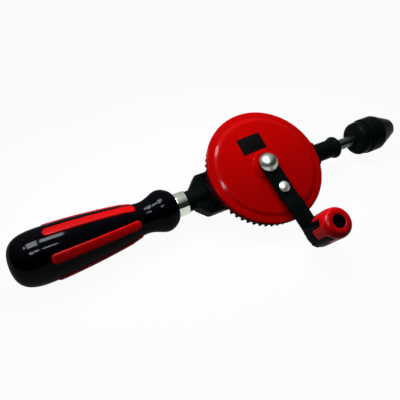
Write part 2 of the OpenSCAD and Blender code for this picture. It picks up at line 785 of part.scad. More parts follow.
module thrust_washers() {
  hole = max(tail_r, tang_r) + running_fit;
  color("#a8a397") {
    ring_x(pinion_hub_r, hole, window_in, window_in + thrust_washer_t);
    ring_x(pinion_hub_r, hole, -window_in - thrust_washer_t, -window_in);
  }
}

module idler_pinion() {
  color("#8a8f94") difference() {
    rotate([0, -90, 0]) pinion(180 * (wheel_teeth % 2) / pinion_teeth, idler_heel);
    rod_x(tang_r + running_fit, -rear_window, 0);
  }
}

module chuck_body() {
  color("#1b1e20") difference() {
    turned_x(concat([[0, chuck_x]],
      arc([ring_r - ring_round, chuck_x + ring_round], ring_round, -90, 0),
      [[ring_r, ring_end - chuck_bevel], [ring_r - chuck_bevel, ring_end], [stem_r, ring_end],
        [stem_r, clip_x], [stem_r - clip_depth, clip_x], [stem_r - clip_depth, clip_x + clip_t],
        [stem_r, clip_x + clip_t], [stem_r, stem_end], [screw_r, stem_end], [screw_r, screw_end],
        [0, screw_end]]));
    rod_x(spindle_end_d / 2 + snug_fit, chuck_x - over, chuck_x + spindle_end_length + snug_fit);
  }
}

module sleeve_clip() {
  color("#6a6f74") ring_x(stem_r + clip_rise, stem_r - clip_depth, clip_x, clip_x + clip_t);
}

module jaw_rod(r, from, to) {
  // The round rod of a jaw, along the cone, between two places along the chuck
  intersection() {
    translate([mouth_x, 0, jaw_axis_mouth]) rotate([0, jaw_angle - 90, 0])
      translate([0, 0, -cone_length]) cylinder(r = r, h = 3 * cone_length);
    translate([from, -sleeve_r, -sleeve_r]) cube([to - from, 2 * sleeve_r, 2 * sleeve_r]);
  }
}

module chuck_sleeve() {
  color("#1b1e20") difference() {
    turned_x(concat(
      [[stem_r + running_fit, sleeve_x], [sleeve_r - chuck_bevel, sleeve_x],
        [sleeve_r, sleeve_x + chuck_bevel], [sleeve_r, cone_x]],
      arc([nose_r - nose_round, mouth_x - nose_round], nose_round, 0, 90, 4),
      [[mouth_r, mouth_x], [sleeve_bore, bore_end], [sleeve_bore, sleeve_x + sleeve_lip],
        [stem_r + running_fit, sleeve_x + sleeve_lip]]));
    for (i = [0:2]) rotate([i * 120, 0, 0]) jaw_rod(jaw_r + slide_room, bore_end, mouth_x + over);
  }
}

module tongue_slot(room) {
  // The T-shaped tongue of a jaw, or its slot, in the direction of +Z
  neck_w = tongue_w + 2 * room;
  head_w = tongue_head_w + 2 * room;
  translate([jaw_rear - tongue_t - room, -neck_w / 2, 0]) cube([tongue_t + 2 * room, neck_w, sleeve_r]);
  translate([jaw_rear - 2 * tongue_t - room, -head_w / 2, 0]) cube([tongue_t + 2 * room, head_w, sleeve_r]);
}

module jaw_pusher() {
  color("#8c9096") difference() {
    ring_x(pusher_r, screw_r + running_fit, pusher_front - pusher_length, pusher_front);
    for (i = [0:2]) rotate([i * 120, 0, 0]) tongue_slot(slide_room);
  }
}

module jaw(turn) {
  // A rod along the cone with a narrow gripping face along the chuck's axis and a tongue at its rear
  color("#75797e") rotate([turn, 0, 0]) difference() {
    intersection() {
      union() {
        jaw_rod(jaw_r, jaw_rear, mouth_x);
        intersection() {
          translate([0, 0, tongue_in]) tongue_slot(0);
          rod_x(pusher_r - slide_room, 0, mouth_x);
        }
      }
      rotate([90, 0, 90]) linear_extrude(mouth_x)
        polygon([[0, jaw_apex], [sleeve_r * tan(60), jaw_apex + sleeve_r],
          [-sleeve_r * tan(60), jaw_apex + sleeve_r]]);
    }
    rod_x(grip_r, 0, mouth_x + over);
  }
}
module jaw_a() jaw(0);
module jaw_b() jaw(120);
module jaw_c() jaw(240);

lay_down() handle_core();
lay_down() grip_strips();
lay_down() ferrule();
lay_down() handle_tang();
lay_down() frame();
lay_down() spindle_bush();
lay_down() tail_bush();
lay_down() idler_stud();
lay_down() axle_bolt();
lay_down() axle_nut();
lay_down() axle_washer();
lay_down() wheel_washer();
lay_down() gear_wheel();
lay_down() wheel_bush();
lay_down() crank_arm();
lay_down() drive_rivet();
lay_down() knob_pin();
lay_down() knob_core();
lay_down() knob_grip();
lay_down() spindle();
lay_down() drive_pinion();
lay_down() pinion_pin();
lay_down() thrust_washers();
lay_down() idler_pinion();
lay_down() chuck_body();
lay_down() sleeve_clip();
lay_down() chuck_sleeve();
lay_down() jaw_pusher();
lay_down() jaw_a();
lay_down() jaw_b();
lay_down() jaw_c();
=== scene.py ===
import json
import math

import bmesh
import bpy
from bpy.props import (
    FloatProperty,
    FloatVectorProperty,
    IntProperty,
    PointerProperty,
)
from mathutils import Matrix, Vector


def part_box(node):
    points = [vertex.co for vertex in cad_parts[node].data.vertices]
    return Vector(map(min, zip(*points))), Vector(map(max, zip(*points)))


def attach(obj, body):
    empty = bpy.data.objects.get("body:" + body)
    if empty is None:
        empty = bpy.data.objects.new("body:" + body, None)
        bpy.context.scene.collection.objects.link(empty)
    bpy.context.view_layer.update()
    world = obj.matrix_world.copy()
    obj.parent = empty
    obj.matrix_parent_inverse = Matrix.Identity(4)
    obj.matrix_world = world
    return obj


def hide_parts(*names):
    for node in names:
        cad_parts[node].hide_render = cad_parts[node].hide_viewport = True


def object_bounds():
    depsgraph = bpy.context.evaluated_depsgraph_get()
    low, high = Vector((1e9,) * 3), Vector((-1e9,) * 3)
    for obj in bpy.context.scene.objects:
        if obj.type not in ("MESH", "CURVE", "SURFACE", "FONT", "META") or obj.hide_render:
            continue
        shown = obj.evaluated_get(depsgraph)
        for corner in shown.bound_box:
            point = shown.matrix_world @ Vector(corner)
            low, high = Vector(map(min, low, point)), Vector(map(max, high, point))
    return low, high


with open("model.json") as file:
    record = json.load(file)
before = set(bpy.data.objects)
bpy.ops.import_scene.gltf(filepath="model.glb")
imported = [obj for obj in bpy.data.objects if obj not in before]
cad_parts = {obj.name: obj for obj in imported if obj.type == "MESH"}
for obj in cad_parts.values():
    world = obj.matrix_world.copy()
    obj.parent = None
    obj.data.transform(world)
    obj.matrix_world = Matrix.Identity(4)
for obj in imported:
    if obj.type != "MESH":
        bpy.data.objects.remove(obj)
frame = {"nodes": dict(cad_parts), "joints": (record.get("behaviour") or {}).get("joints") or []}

bl_info = {
    "name": "Eggbeater Hand Drill",
    "version": (1, 0, 0),
    "blender": (4, 5, 0),
    "location": "View3D > Sidebar > Hand Drill",
    "description": "Dresses the solids of a hand drill with its finished pieces, materials and stage",
    "category": "Object",
}

CAD_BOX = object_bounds()
JOINTS = {joint["name"]: joint for joint in frame["joints"]}
AXLE = tuple(JOINTS["crank_turn"]["axis"])
SPINDLE = (1.0, 0.0, 0.0)
MM = 0.001
QUARTER = math.pi / 2

# Sizes in millimetres. X runs along the spindle and Z along the wheel's axle, from the point where the two cross.
# Most are the solids' own, and a comment says where a piece is finished more finely than its solid.

# Handle, with the shares of its lengths over which its curves hold their direction at their ends
HANDLE_BUTT = -186.796
HANDLE_FRONT = -70.896
BUTT_LENGTH = 21.5
GRIP_LENGTH = 57.0
WAIST_LENGTH = 12.0
COLLAR_SLOPE = 15.5
FRONT_SLOPE = 9.9
HANDLE_R = 18.7
NECK_R = 13.8
WAIST_R = 11.6
COLLAR_R = 15.6
FRONT_R = 9.8
BUTT_HOLD = (0.77, 0.7)
GRIP_HOLD = (0.3, 0.25)
GRIP_FULLNESS = 0.45
WAIST_HOLD = 0.35
COLLAR_HOLD = (0.45, 0.3)
FRONT_HOLD = (0.4, 0.15)
HANDLE_PLAY = 0.1
HANDLE_END_PLAY = 0.3

# Strips in the handle: a little shorter and wider in front than the solids
STRIP_START = 4.0
STRIP_LENGTH = 61.2
STRIP_REAR_R = 3.5
STRIP_FRONT_R = 3.2
STRIP_DEPTH = 1.2
STRIP_END_STEPS = 20
STRIP_SIDE_STEPS = 60
STRIP_CROSS_STEPS = 14

# Ferrule, with a lip over the frame's rear flange that the solid leaves out
FERRULE_R = 9.0
FERRULE_WALL = 1.2
FERRULE_LIP = 0.9
FLANGE_R = 8.35
FLANGE_PLAY = 0.2
REAR_END = -63.396
REAR_PLAY = 0.05

# Skin of the frame's casting, which the solid leaves out
CASTING_SMOOTHING = 0.5
CASTING_PASSES = 2
CASTING_SKIN = 0.15

# Wheel, with a bevel that is wider and softer than the solid's
RIM_R = 45.0
RIM_Z = 20.35
RIM_BACK = 17.15
FACE_Z = 21.35
BORDER_W = 5.6
BEVEL_W = 2.0
BEVEL_OUT = 0.3
BEVEL_OUT_ROUND = 3.2
BEVEL_IN = 0.4
BEVEL_IN_ROUND = 4.8
WEB_BACK = 16.35
SEAT_R = 10.5
SEAT_Z = 22.65
SEAT_FOOT = 1.0
SEAT_DRAFT = 0.2
WHEEL_BACK = 9.3
WHEEL_HUB_R = 11.0
WHEEL_BORE_R = 5.37
# Height below which the teeth are painted darker, a painted shade where the rim shades them
TEETH_SHADE_Z = RIM_BACK - 0.2

# Teeth, whose crown is drawn in so that their edges catch the light
WHEEL_TEETH = 60
PINION_TEETH = 15
GEAR_MODULE = 1.46
PRESSURE_ANGLE = math.radians(20)
TOOTH_LENGTH = 9.0
BACKLASH = 0.3
WHEEL_ADDENDUM = 0.8
PINION_ADDENDUM = 1.0
ROOT_GAP = 0.25
TOOTH_SINK = 0.5
FLANK_STEPS = 6
CROWN_SHARE = 0.72
SHOULDER_SHARE = 0.96
CROWN_DROP = 0.002

# Plain label on the wheel
LABEL_SIZE = (20.3, 13.2)
LABEL_PLACE = (-3.3, 18.9)
LABEL_TURN = math.radians(3)
LABEL_CORNER = 0.8
LABEL_CORNER_STEPS = 6
LABEL_SINK = 0.05
LABEL_T = 0.12
LABEL_EDGE_Z = 0.072
LABEL_EDGE_W = 0.1

# Axle and rivet
AXLE_R = 4.0
AXLE_HEAD_R = 7.5
AXLE_HEAD_H = 5.4
AXLE_BACK = -14.15
END_PLAY = 0.15
RIVET_PLACE = 21.0
RIVET_R = 2.2
RIVET_HEAD_R = 4.1
RIVET_HEAD_H = 2.3
RIVET_TAIL_R = 3.6
RIVET_TAIL_T = 1.2
RIVET_PAD_R = 5.5
RIVET_PAD_FOOT = 0.6
RIVET_PAD_SINK = 1.0
DOME_LIP = 0.5
DOME_STEPS = 24

# Arm
ARM_W = 13.0
ARM_T = 2.8
ARM_STEP = 1.4
ARM_TOP = 25.45
STEP_START = 28.0
STEP_END = 36.0
CRANK_R = 60.7
ARM_EDGE_STEPS = 5
ARM_END_STEPS = 28
ARM_SIDE_STEPS = 64

# Knob. Its collar, and a black skin in its hole that is a painted shade over the hole's red wall, are a skin over the
# solid, and its ribs are longer than the solid's.
KNOB_FOOT = 27.0
KNOB_SHOULDER = 30.6
KNOB_END = 57.6
KNOB_R = 10.5
KNOB_TAPER = 0.4
KNOB_BASE_R = 8.5
KNOB_BASE_TAPER = 0.2
KNOB_ROUND = 4.0
KNOB_HOLE_R = 4.3
KNOB_HOLE_ROUND = 1.1
KNOB_FLOOR = 47.6
KNOB_TUBE_R = 6.3
KNOB_PIN_R = 3.05
# Black skin in the knob's hole, a painted shade over the hole's red wall and rounding
HOLE_SHADE_TURN = math.radians(42)
HOLE_SHADE_STEPS = 8
HOLE_SHADE_IN = 0.05
HOLE_SHADE_OUT = 0.06
HOLE_SHADE_FOOT = 0.1
COLLAR_RISE = 9.6
COLLAR_SINK = 0.5
COLLAR_TAPER = 0.05
COLLAR_INNER_R = KNOB_TUBE_R + 1
RIB_W = 5.6
RIB_LENGTH = 21.2
RIB_ROUND = 2.0
RIB_TURN = math.radians(9)
RIB_SINK = 0.6
RIB_FOOT = 0.1
RIB_EDGE = 0.9
RIB_SIDE_STEPS = 16
RIB_END_STEPS = 14
RIB_CROSS_STEPS = 10

# Chuck
CHUCK_X = 98.996
RING_LENGTH = 8.6
RING_R = 14.0
RING_ROUND = 4.0
RING_GAP = 1.0
STEM_R = 9.2
BODY_BORE_R = 4.02
BODY_BORE_LENGTH = 9.62
CLIP_T = 1.2
CLIP_DEPTH = 0.9
SCREW_R = 4.0
SLEEVE_R = 15.0
SLEEVE_LENGTH = 12.4
SLEEVE_WALL = 2.0
SLEEVE_LIP = 2.0
CONE_LENGTH = 17.7
NOSE_R = 7.4
NOSE_SWELL = 0.15
NOSE_ROUND = 0.8
MOUTH_R = 4.9
JAWS = 3
JAW_R = 2.8
GROOVE_DEPTH = 0.6
GROOVE_PAST_MOUTH = 2.0
GROOVE_SHORT = 0.4
SLIDE_ROOM = 0.15
RUNNING_FIT = 0.05


def layout():
    """From millimetres about the crossing of the axes to metres in the frame of the solids."""
    axle, spindle = Vector(AXLE).normalized(), Vector(SPINDLE)
    turn = Matrix((spindle, axle.cross(spindle), axle)).transposed().to_4x4()
    return Matrix.Translation(JOINTS["crank_turn"]["pos_m"]) @ turn @ Matrix.Scale(MM, 4)


LAY = layout()
KNOB_PLACE = LAY.inverted() @ Vector(JOINTS["knob_spin"]["pos_m"])
ON_CRANK = Matrix.Rotation(math.atan2(KNOB_PLACE.y, KNOB_PLACE.x), 4, "Z")
AT_KNOB = Matrix.Translation((KNOB_PLACE.x, KNOB_PLACE.y, 0))
AT_RIVET = ON_CRANK @ Matrix.Translation((RIVET_PLACE, 0, 0))
ALONG_X = Matrix(((0, 0, 1, 0), (0, 1, 0, 0), (-1, 0, 0, 0), (0, 0, 0, 1)))


# Shapes


def curve(a, b, c, d, steps):
    """Points of a cubic Bezier curve, without its first point."""
    points = []
    for i in range(1, steps + 1):
        t = i / steps
        s = 1 - t
        weights = (s ** 3, 3 * s * s * t, 3 * s * t * t, t ** 3)
        points.append(tuple(sum(w * p[k] for w, p in zip(weights, (a, b, c, d))) for k in (0, 1)))
    return points


def rounded(corners, closed=False, steps=5):
    """A path through corners given as (radius, height, rounding), with an arc at each rounding."""
    count = len(corners)
    path = []
    for i, corner in enumerate(corners):
        here = Vector(corner[:2])
        size = corner[2] if len(corner) > 2 else 0.0
        if size == 0 or (not closed and i in (0, count - 1)):
            path.append(tuple(here))
            continue
        before = (Vector(corners[i - 1][:2]) - here).normalized()
        after = (Vector(corners[(i + 1) % count][:2]) - here).normalized()
        half = before.angle(after) / 2
        reach = size / math.tan(half)
        middle = here + (before + after).normalized() * (size / math.sin(half))
        start = here + before * reach - middle
        turn = start.angle_signed(here + after * reach - middle)
        for k in range(steps + 1):
            arm = start.copy()
            arm.rotate(Matrix.Rotation(-turn * k / steps, 2))
            path.append(tuple(middle + arm))
    return path


def add_face(faces, corners):
    """Adds a face, without the corners that it would have twice."""
    face = list(dict.fromkeys(corners))
    if len(face) > 2:
        faces.append(face)


def lathe(path, steps=160, closed=False):
    """Vertices and faces of a path of (radius, height) turned about Z."""
    verts, rows, faces = [], [], []
    for r, z in path:
        if r < 1e-6:
            rows.append([len(verts)] * steps)
            verts.append((0, 0, z))
            continue
        rows.append(list(range(len(verts), len(verts) + steps)))
        for k in range(steps):
            a = 2 * math.pi * k / steps
            verts.append((r * math.cos(a), r * math.sin(a), z))
    spans = list(zip(rows, rows[1:]))
    if closed:
        spans.append((rows[-1], rows[0]))
    for low, high in spans:
        for k in range(steps):
            n = (k + 1) % steps
            add_face(faces, (low[k], low[n], high[n], high[k]))
    return verts, faces


def ring_faces(rows, columns, capped=False):
    """Faces between rows of points that each run around a piece, and over its two ends if it is capped."""
    faces = []
    for i in range(rows - 1):
        low, high = i * columns, (i + 1) * columns
        for k in range(columns):
            n = (k + 1) % columns
            faces.append([low + k, low + n, high + n, high + k])
    if capped:
        faces.append(list(range(columns)))
        faces.append(list(range((rows - 1) * columns, rows * columns)))
    return faces


def raised(stations, outline, steps, flat, depth, rise, edge, place, capped=False):
    """A strip with rounded edges that stands out of a round surface.

    outline gives, at a station, the radius of the strip's end, how far the station is past that radius's middle, and
    the radius of the surface. flat is half the width between the middles, and depth how far the strip is let in.
    """
    across = [math.sin(QUARTER * (k / steps - 1)) for k in range(2 * steps + 1)]
    verts = []
    for x in stations:
        r, over, surface = outline(x)
        width = flat + math.sqrt(max(r ** 2 - over ** 2, 0))
        row = [(-width, surface - depth)]
        for t in across:
            inside = r - math.hypot(over, max(abs(t * width) - flat, 0))
            share = min(max(inside / edge, 0), 1)
            row.append((t * width, surface + rise * math.sqrt(1 - (1 - share) ** 2)))
        row.append((width, surface - depth))
        verts.extend(place(x, y, math.sqrt(top * top - y * y)) for y, top in row)
    return verts, ring_faces(len(stations), len(across) + 2, capped)


def joined(*shapes):
    """Several shapes as one."""
    verts, faces = [], []
    for shape_verts, shape_faces in shapes:
        base = len(verts)
        verts.extend(shape_verts)
        faces.extend([[base + i for i in face] for face in shape_faces])
    return verts, faces


def plain_mesh(name, shape, matrix=None):
    """A closed mesh in millimetres, with its faces outwards."""
    mesh = bpy.data.meshes.new(name)
    mesh.from_pydata(shape[0], [], shape[1])
    if matrix is not None:
        mesh.transform(matrix)
    work = bmesh.new()
    work.from_mesh(mesh)
    bmesh.ops.remove_doubles(work, verts=work.verts, dist=1e-5)
    bmesh.ops.recalc_face_normals(work, faces=work.faces)
    work.to_mesh(mesh)
    work.free()
    return mesh


def merged(name, *meshes):
    """Several meshes as one."""
    work = bmesh.new()
    for mesh in meshes:
        work.from_mesh(mesh)
    result = bpy.data.meshes.new(name)
    work.to_mesh(result)
    work.free()
    return result


def linked(name, data):
    """A new object in the scene."""
    item = bpy.data.objects.new(name, data)
    bpy.context.scene.collection.objects.link(item)
    return item


def baked(item):
    """The evaluated mesh of a helper object, which is then removed."""
    graph = bpy.context.evaluated_depsgraph_get()
    mesh = bpy.data.meshes.new_from_object(item.evaluated_get(graph))
    item.modifiers.clear()
    bpy.data.objects.remove(item)
    return mesh


def finish_piece(name, mesh, look, body, nodes=(), sharp=35.0):
    """Puts a mesh given in millimetres in its place, gives it a finish, hangs it on its body and hides the solids that
    it stands for.
    """
    mesh.transform(LAY)
    mesh.materials.clear()
    mesh.materials.append(finish(look))
    mesh.shade_smooth()
    mesh.set_sharp_from_angle(angle=math.radians(sharp))
    piece = linked(name, mesh)
    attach(piece, body)
    if nodes:
        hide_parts(*nodes)


# Node trees


def fill(tree, item, *values, **named):
    """Sets a node's own settings, named in lower case, and sets or links its inputs, in their order or by name."""
    for key, value in named.items():
        if key.islower():
            setattr(item, key, value)
    pairs = list(zip(item.inputs, values))
    pairs += [(item.inputs[key.replace("_", " ")], value) for key, value in named.items() if not key.islower()]
    for socket, value in pairs:
        if isinstance(value, bpy.types.NodeSocket):
            tree.links.new(value, socket)
        else:
            socket.default_value = value
    return item


def node(tree, kind, *values, **named):
    return fill(tree, tree.nodes.new(kind), *values, **named)


def node_group(name, kind, inputs, outputs, build):
    """A node tree with named sockets, built when it is first asked for."""
    tree = bpy.data.node_groups.get(name)
    if tree:
        return tree
    tree = bpy.data.node_groups.new(name, kind)
    for side, sockets in (("INPUT", inputs), ("OUTPUT", outputs)):
        for label, sort, *default in sockets:
            socket = tree.interface.new_socket(label, in_out=side, socket_type="NodeSocket" + sort)
            if default:
                socket.default_value = default[0]
    made = build(tree, tree.nodes.new("NodeGroupInput").outputs)
    result = tree.nodes.new("NodeGroupOutput")
    for value, socket in zip(made, result.inputs):
        tree.links.new(value, socket)
    return tree


def ring_tree():
    """Geometry nodes that repeat a piece around an axis through the origin."""

    def build(tree, given):
        points = node(tree, "GeometryNodePoints", Count=given["Count"])
        index = node(tree, "GeometryNodeInputIndex")
        share = node(tree, "ShaderNodeMath", 2 * math.pi, given["Count"], operation="DIVIDE")
        angle = node(tree, "ShaderNodeMath", index.outputs["Index"], share.outputs[0], given["Start"],
                     operation="MULTIPLY_ADD")
        turn = node(tree, "FunctionNodeAxisAngleToRotation", Axis=given["Axis"], Angle=angle.outputs[0])
        place = node(tree, "GeometryNodeInstanceOnPoints", Points=points.outputs[0], Instance=given["Geometry"],
                     Rotation=turn.outputs["Rotation"])
        real = node(tree, "GeometryNodeRealizeInstances", Geometry=place.outputs["Instances"])
        paint = node(tree, "GeometryNodeSetMaterial", Geometry=real.outputs["Geometry"], Material=given["Material"])
        return (paint.outputs["Geometry"],)

    return node_group(
        "Ring Of Pieces", "GeometryNodeTree",
        (("Geometry", "Geometry"), ("Count", "Int"), ("Start", "Float"), ("Axis", "Vector"), ("Material", "Material")),
        (("Geometry", "Geometry"),), build)


def ring_of(mesh, count, axis, look, start=0.0):
    """A mesh that holds count copies of a mesh, turned evenly about an axis."""
    item = linked(mesh.name, mesh)
    tree = ring_tree()
    modifier = item.modifiers.new("Ring", "NODES")
    modifier.node_group = tree
    inputs = {s.name: s.identifier for s in tree.interface.items_tree if s.in_out == "INPUT"}
    for name, value in (("Count", count), ("Start", start), ("Axis", axis), ("Material", finish(look))):
        modifier[inputs[name]] = value
    return baked(item)


# Materials

# Height of grain and turning marks, the blur of the edge of the painted shade in the teeth, and where the gathered
# paint's gloss starts to fade and ends, in metres
RELIEF = 0.2 * MM
SHADE_BLUR = 0.3 * MM
BEAD_NEAR = 1.0 * MM
BEAD_FAR = 3.0 * MM


def mottle_group():
    """Slow drift of a colour and of the roughness over a surface."""

    def build(tree, given):
        noise = node(tree, "ShaderNodeTexNoise", Vector=given["Vector"], Scale=given["Scale"], Detail=4.0,
                     Roughness=0.55)
        finer = node(tree, "ShaderNodeMath", given["Scale"], 6.0, operation="MULTIPLY")
        fine = node(tree, "ShaderNodeTexNoise", Vector=given["Vector"], Scale=finer.outputs[0], Detail=3.0,
                    Roughness=0.6)
        mix = node(tree, "ShaderNodeMix", data_type="RGBA", Factor=noise.outputs["Fac"], A=given["Colour"],
                   B=given["Shade"])
        centred = node(tree, "ShaderNodeMath", fine.outputs["Fac"], 0.5, operation="SUBTRACT")
        spread = node(tree, "ShaderNodeMath", centred.outputs[0], given["Spread"], given["Roughness"],
                      operation="MULTIPLY_ADD")
        return mix.outputs["Result"], spread.outputs[0]

    return node_group(
        "Mottle", "ShaderNodeTree",
        (("Vector", "Vector"), ("Scale", "Float", 60.0), ("Colour", "Color", (0.5, 0.5, 0.5, 1)),
         ("Shade", "Color", (0.4, 0.4, 0.4, 1)), ("Roughness", "Float", 0.3), ("Spread", "Float", 0.08)),
        (("Colour", "Color"), ("Roughness", "Float")), build)


def grain_group():
    """A fine pebbled height, for paint, casting skin and moulded plastic."""

    def build(tree, given):
        noise = node(tree, "ShaderNodeTexNoise", Vector=given["Vector"], Scale=given["Scale"], Detail=2.0,
                     Roughness=0.5)
        return (noise.outputs["Fac"],)

    return node_group("Surface Grain", "ShaderNodeTree", (("Vector", "Vector"), ("Scale", "Float", 800.0)),
                      (("Height", "Float"),), build)


def turning_group():
    """Fine rings left by a lathe, across the direction given."""

    def build(tree, given):
        along = node(tree, "ShaderNodeVectorMath", given["Vector"], given["Direction"], operation="DOT_PRODUCT")
        fine = node(tree, "ShaderNodeTexNoise", noise_dimensions="1D", W=along.outputs["Value"],
                    Scale=given["Scale"], Detail=3.0, Roughness=0.7)
        return (fine.outputs["Fac"],)

    return node_group(
        "Turning Marks", "ShaderNodeTree",
        (("Vector", "Vector"), ("Direction", "Vector", (1, 0, 0)), ("Scale", "Float", 3000.0)),
        (("Height", "Float"),), build)


def rgba(colour):
    return (*colour, 1.0)


def paint_shade_below(tree, coords, colour, height, shade):
    """A colour that turns darker below a height along the axle: a painted shade in the wheel's teeth, which lie in the
    rim's shade.
    """
    along = node(tree, "ShaderNodeVectorMath", coords, AXLE, operation="DOT_PRODUCT")
    step = node(tree, "ShaderNodeMapRange", Value=along.outputs["Value"], From_Min=height - SHADE_BLUR,
                From_Max=height + SHADE_BLUR)
    mix = node(tree, "ShaderNodeMix", data_type="RGBA", Factor=step.outputs["Result"], A=rgba(shade), B=colour)
    return mix.outputs["Result"]


def gloss_ring(tree, coords, low, radius, high):
    """A gloss that is higher on a ring about the wheel's axle, where the paint has gathered."""
    offset = node(tree, "ShaderNodeVectorMath", coords, JOINTS["crank_turn"]["pos_m"], operation="SUBTRACT")
    turned = node(tree, "ShaderNodeVectorMath", offset.outputs["Vector"], AXLE, operation="CROSS_PRODUCT")
    length = node(tree, "ShaderNodeVectorMath", turned.outputs["Vector"], operation="LENGTH")
    away = node(tree, "ShaderNodeMath", length.outputs["Value"], radius, operation="SUBTRACT")
    size = node(tree, "ShaderNodeMath", away.outputs[0], operation="ABSOLUTE")
    step = node(tree, "ShaderNodeMapRange", Value=size.outputs[0], From_Min=BEAD_NEAR, From_Max=BEAD_FAR,
                To_Min=high, To_Max=low)
    return step.outputs["Result"]


def finish_of(name, colour, shade, roughness, spread, mottle, metallic=0.0, specular=0.5, coat=0.0,
              coat_roughness=0.03, grain=None, turning=None, bump=0.1, painted_shade=None, bead=None):
    """A material with a drifting colour and roughness, and a grain or turning marks in its surface."""
    material = bpy.data.materials.new(name)
    material.use_nodes = True
    tree = material.node_tree
    coords = tree.nodes.new("ShaderNodeTexCoord").outputs["Object"]
    drift = node(tree, "ShaderNodeGroup", node_tree=mottle_group(), Vector=coords, Scale=mottle, Colour=rgba(colour),
                 Shade=rgba(shade), Roughness=roughness, Spread=spread)
    paint = drift.outputs["Colour"]
    # Painted shade: darker below a height along the axle
    if painted_shade:
        paint = paint_shade_below(tree, coords, paint, *painted_shade)
    if bead:
        coat = gloss_ring(tree, coords, coat, *bead)
    shader = fill(tree, tree.nodes["Principled BSDF"], Base_Color=paint, Roughness=drift.outputs["Roughness"],
                  Metallic=metallic, Specular_IOR_Level=specular, Coat_Weight=coat, Coat_Roughness=coat_roughness)
    if turning:
        direction, scale = turning
        marks = node(tree, "ShaderNodeGroup", node_tree=turning_group(), Vector=coords, Direction=direction,
                     Scale=scale)
    else:
        marks = node(tree, "ShaderNodeGroup", node_tree=grain_group(), Vector=coords, Scale=grain)
    relief = node(tree, "ShaderNodeBump", Strength=bump, Distance=RELIEF, Height=marks.outputs["Height"])
    tree.links.new(relief.outputs["Normal"], shader.inputs["Normal"])
    return material


class DrillColours(bpy.types.PropertyGroup):
    """Colours of the drill's finishes."""

    wheel: FloatVectorProperty(name="Wheel", description="Gloss paint of the wheel", subtype="COLOR",
                               size=3, min=0, max=1, default=(0.47, 0.0008, 0.0008))
    strips: FloatVectorProperty(name="Strips", description="Plastic strips in the handle", subtype="COLOR",
                                size=3, min=0, max=1, default=(0.7, 0.003, 0.004))
    knob: FloatVectorProperty(name="Knob", description="Plastic of the knob", subtype="COLOR",
                              size=3, min=0, max=1, default=(0.86, 0.002, 0.006))
    handle: FloatVectorProperty(name="Handle", description="Plastic of the handle", subtype="COLOR",
                                size=3, min=0, max=1, default=(0.0012, 0.001, 0.0028))
    paint: FloatVectorProperty(name="Black paint", description="Paint of the frame and the arm",
                               subtype="COLOR", size=3, min=0, max=1, default=(0.0036, 0.0066, 0.0059))
    oxide: FloatVectorProperty(name="Chuck", description="Black finish of the chuck", subtype="COLOR",
                               size=3, min=0, max=1, default=(0.004, 0.0085, 0.0078))
    plating: FloatVectorProperty(name="Plating", description="Bright plating of the ferrule and the rivets",
                                 subtype="COLOR", size=3, min=0, max=1, default=(0.66, 0.72, 0.62))


class DrillSizes(bpy.types.PropertyGroup):
    """Sizes of details that the solids leave plain, in metres."""

    strip_rise: FloatProperty(name="Strip height", description="How far the strips stand out of the handle",
                              unit="LENGTH", min=0.0003, max=0.0009, default=0.0009)
    strip_edge: FloatProperty(name="Strip rounding", description="Rounding of the strips' edges",
                              unit="LENGTH", min=0.0003, max=0.0015, default=0.0009)
    strips: IntProperty(name="Strips", description="Number of strips around the handle", min=4, max=8, default=6)
    arm_edge: FloatProperty(name="Arm rounding", description="Rounding of the arm's edges", unit="LENGTH",
                            min=0.0001, max=0.001, default=0.0006)
    rib_rise: FloatProperty(name="Rib height", description="How far the ribs stand out of the knob",
                            unit="LENGTH", min=0.0001, max=0.001, default=0.0004)
    ribs: IntProperty(name="Ribs", description="Number of ribs on the knob", min=3, max=7, default=5)
    casting_round: FloatProperty(name="Casting grain", description="Step of the frame's cast skin",
                                 unit="LENGTH", min=0.0004, max=0.001, default=0.0006)
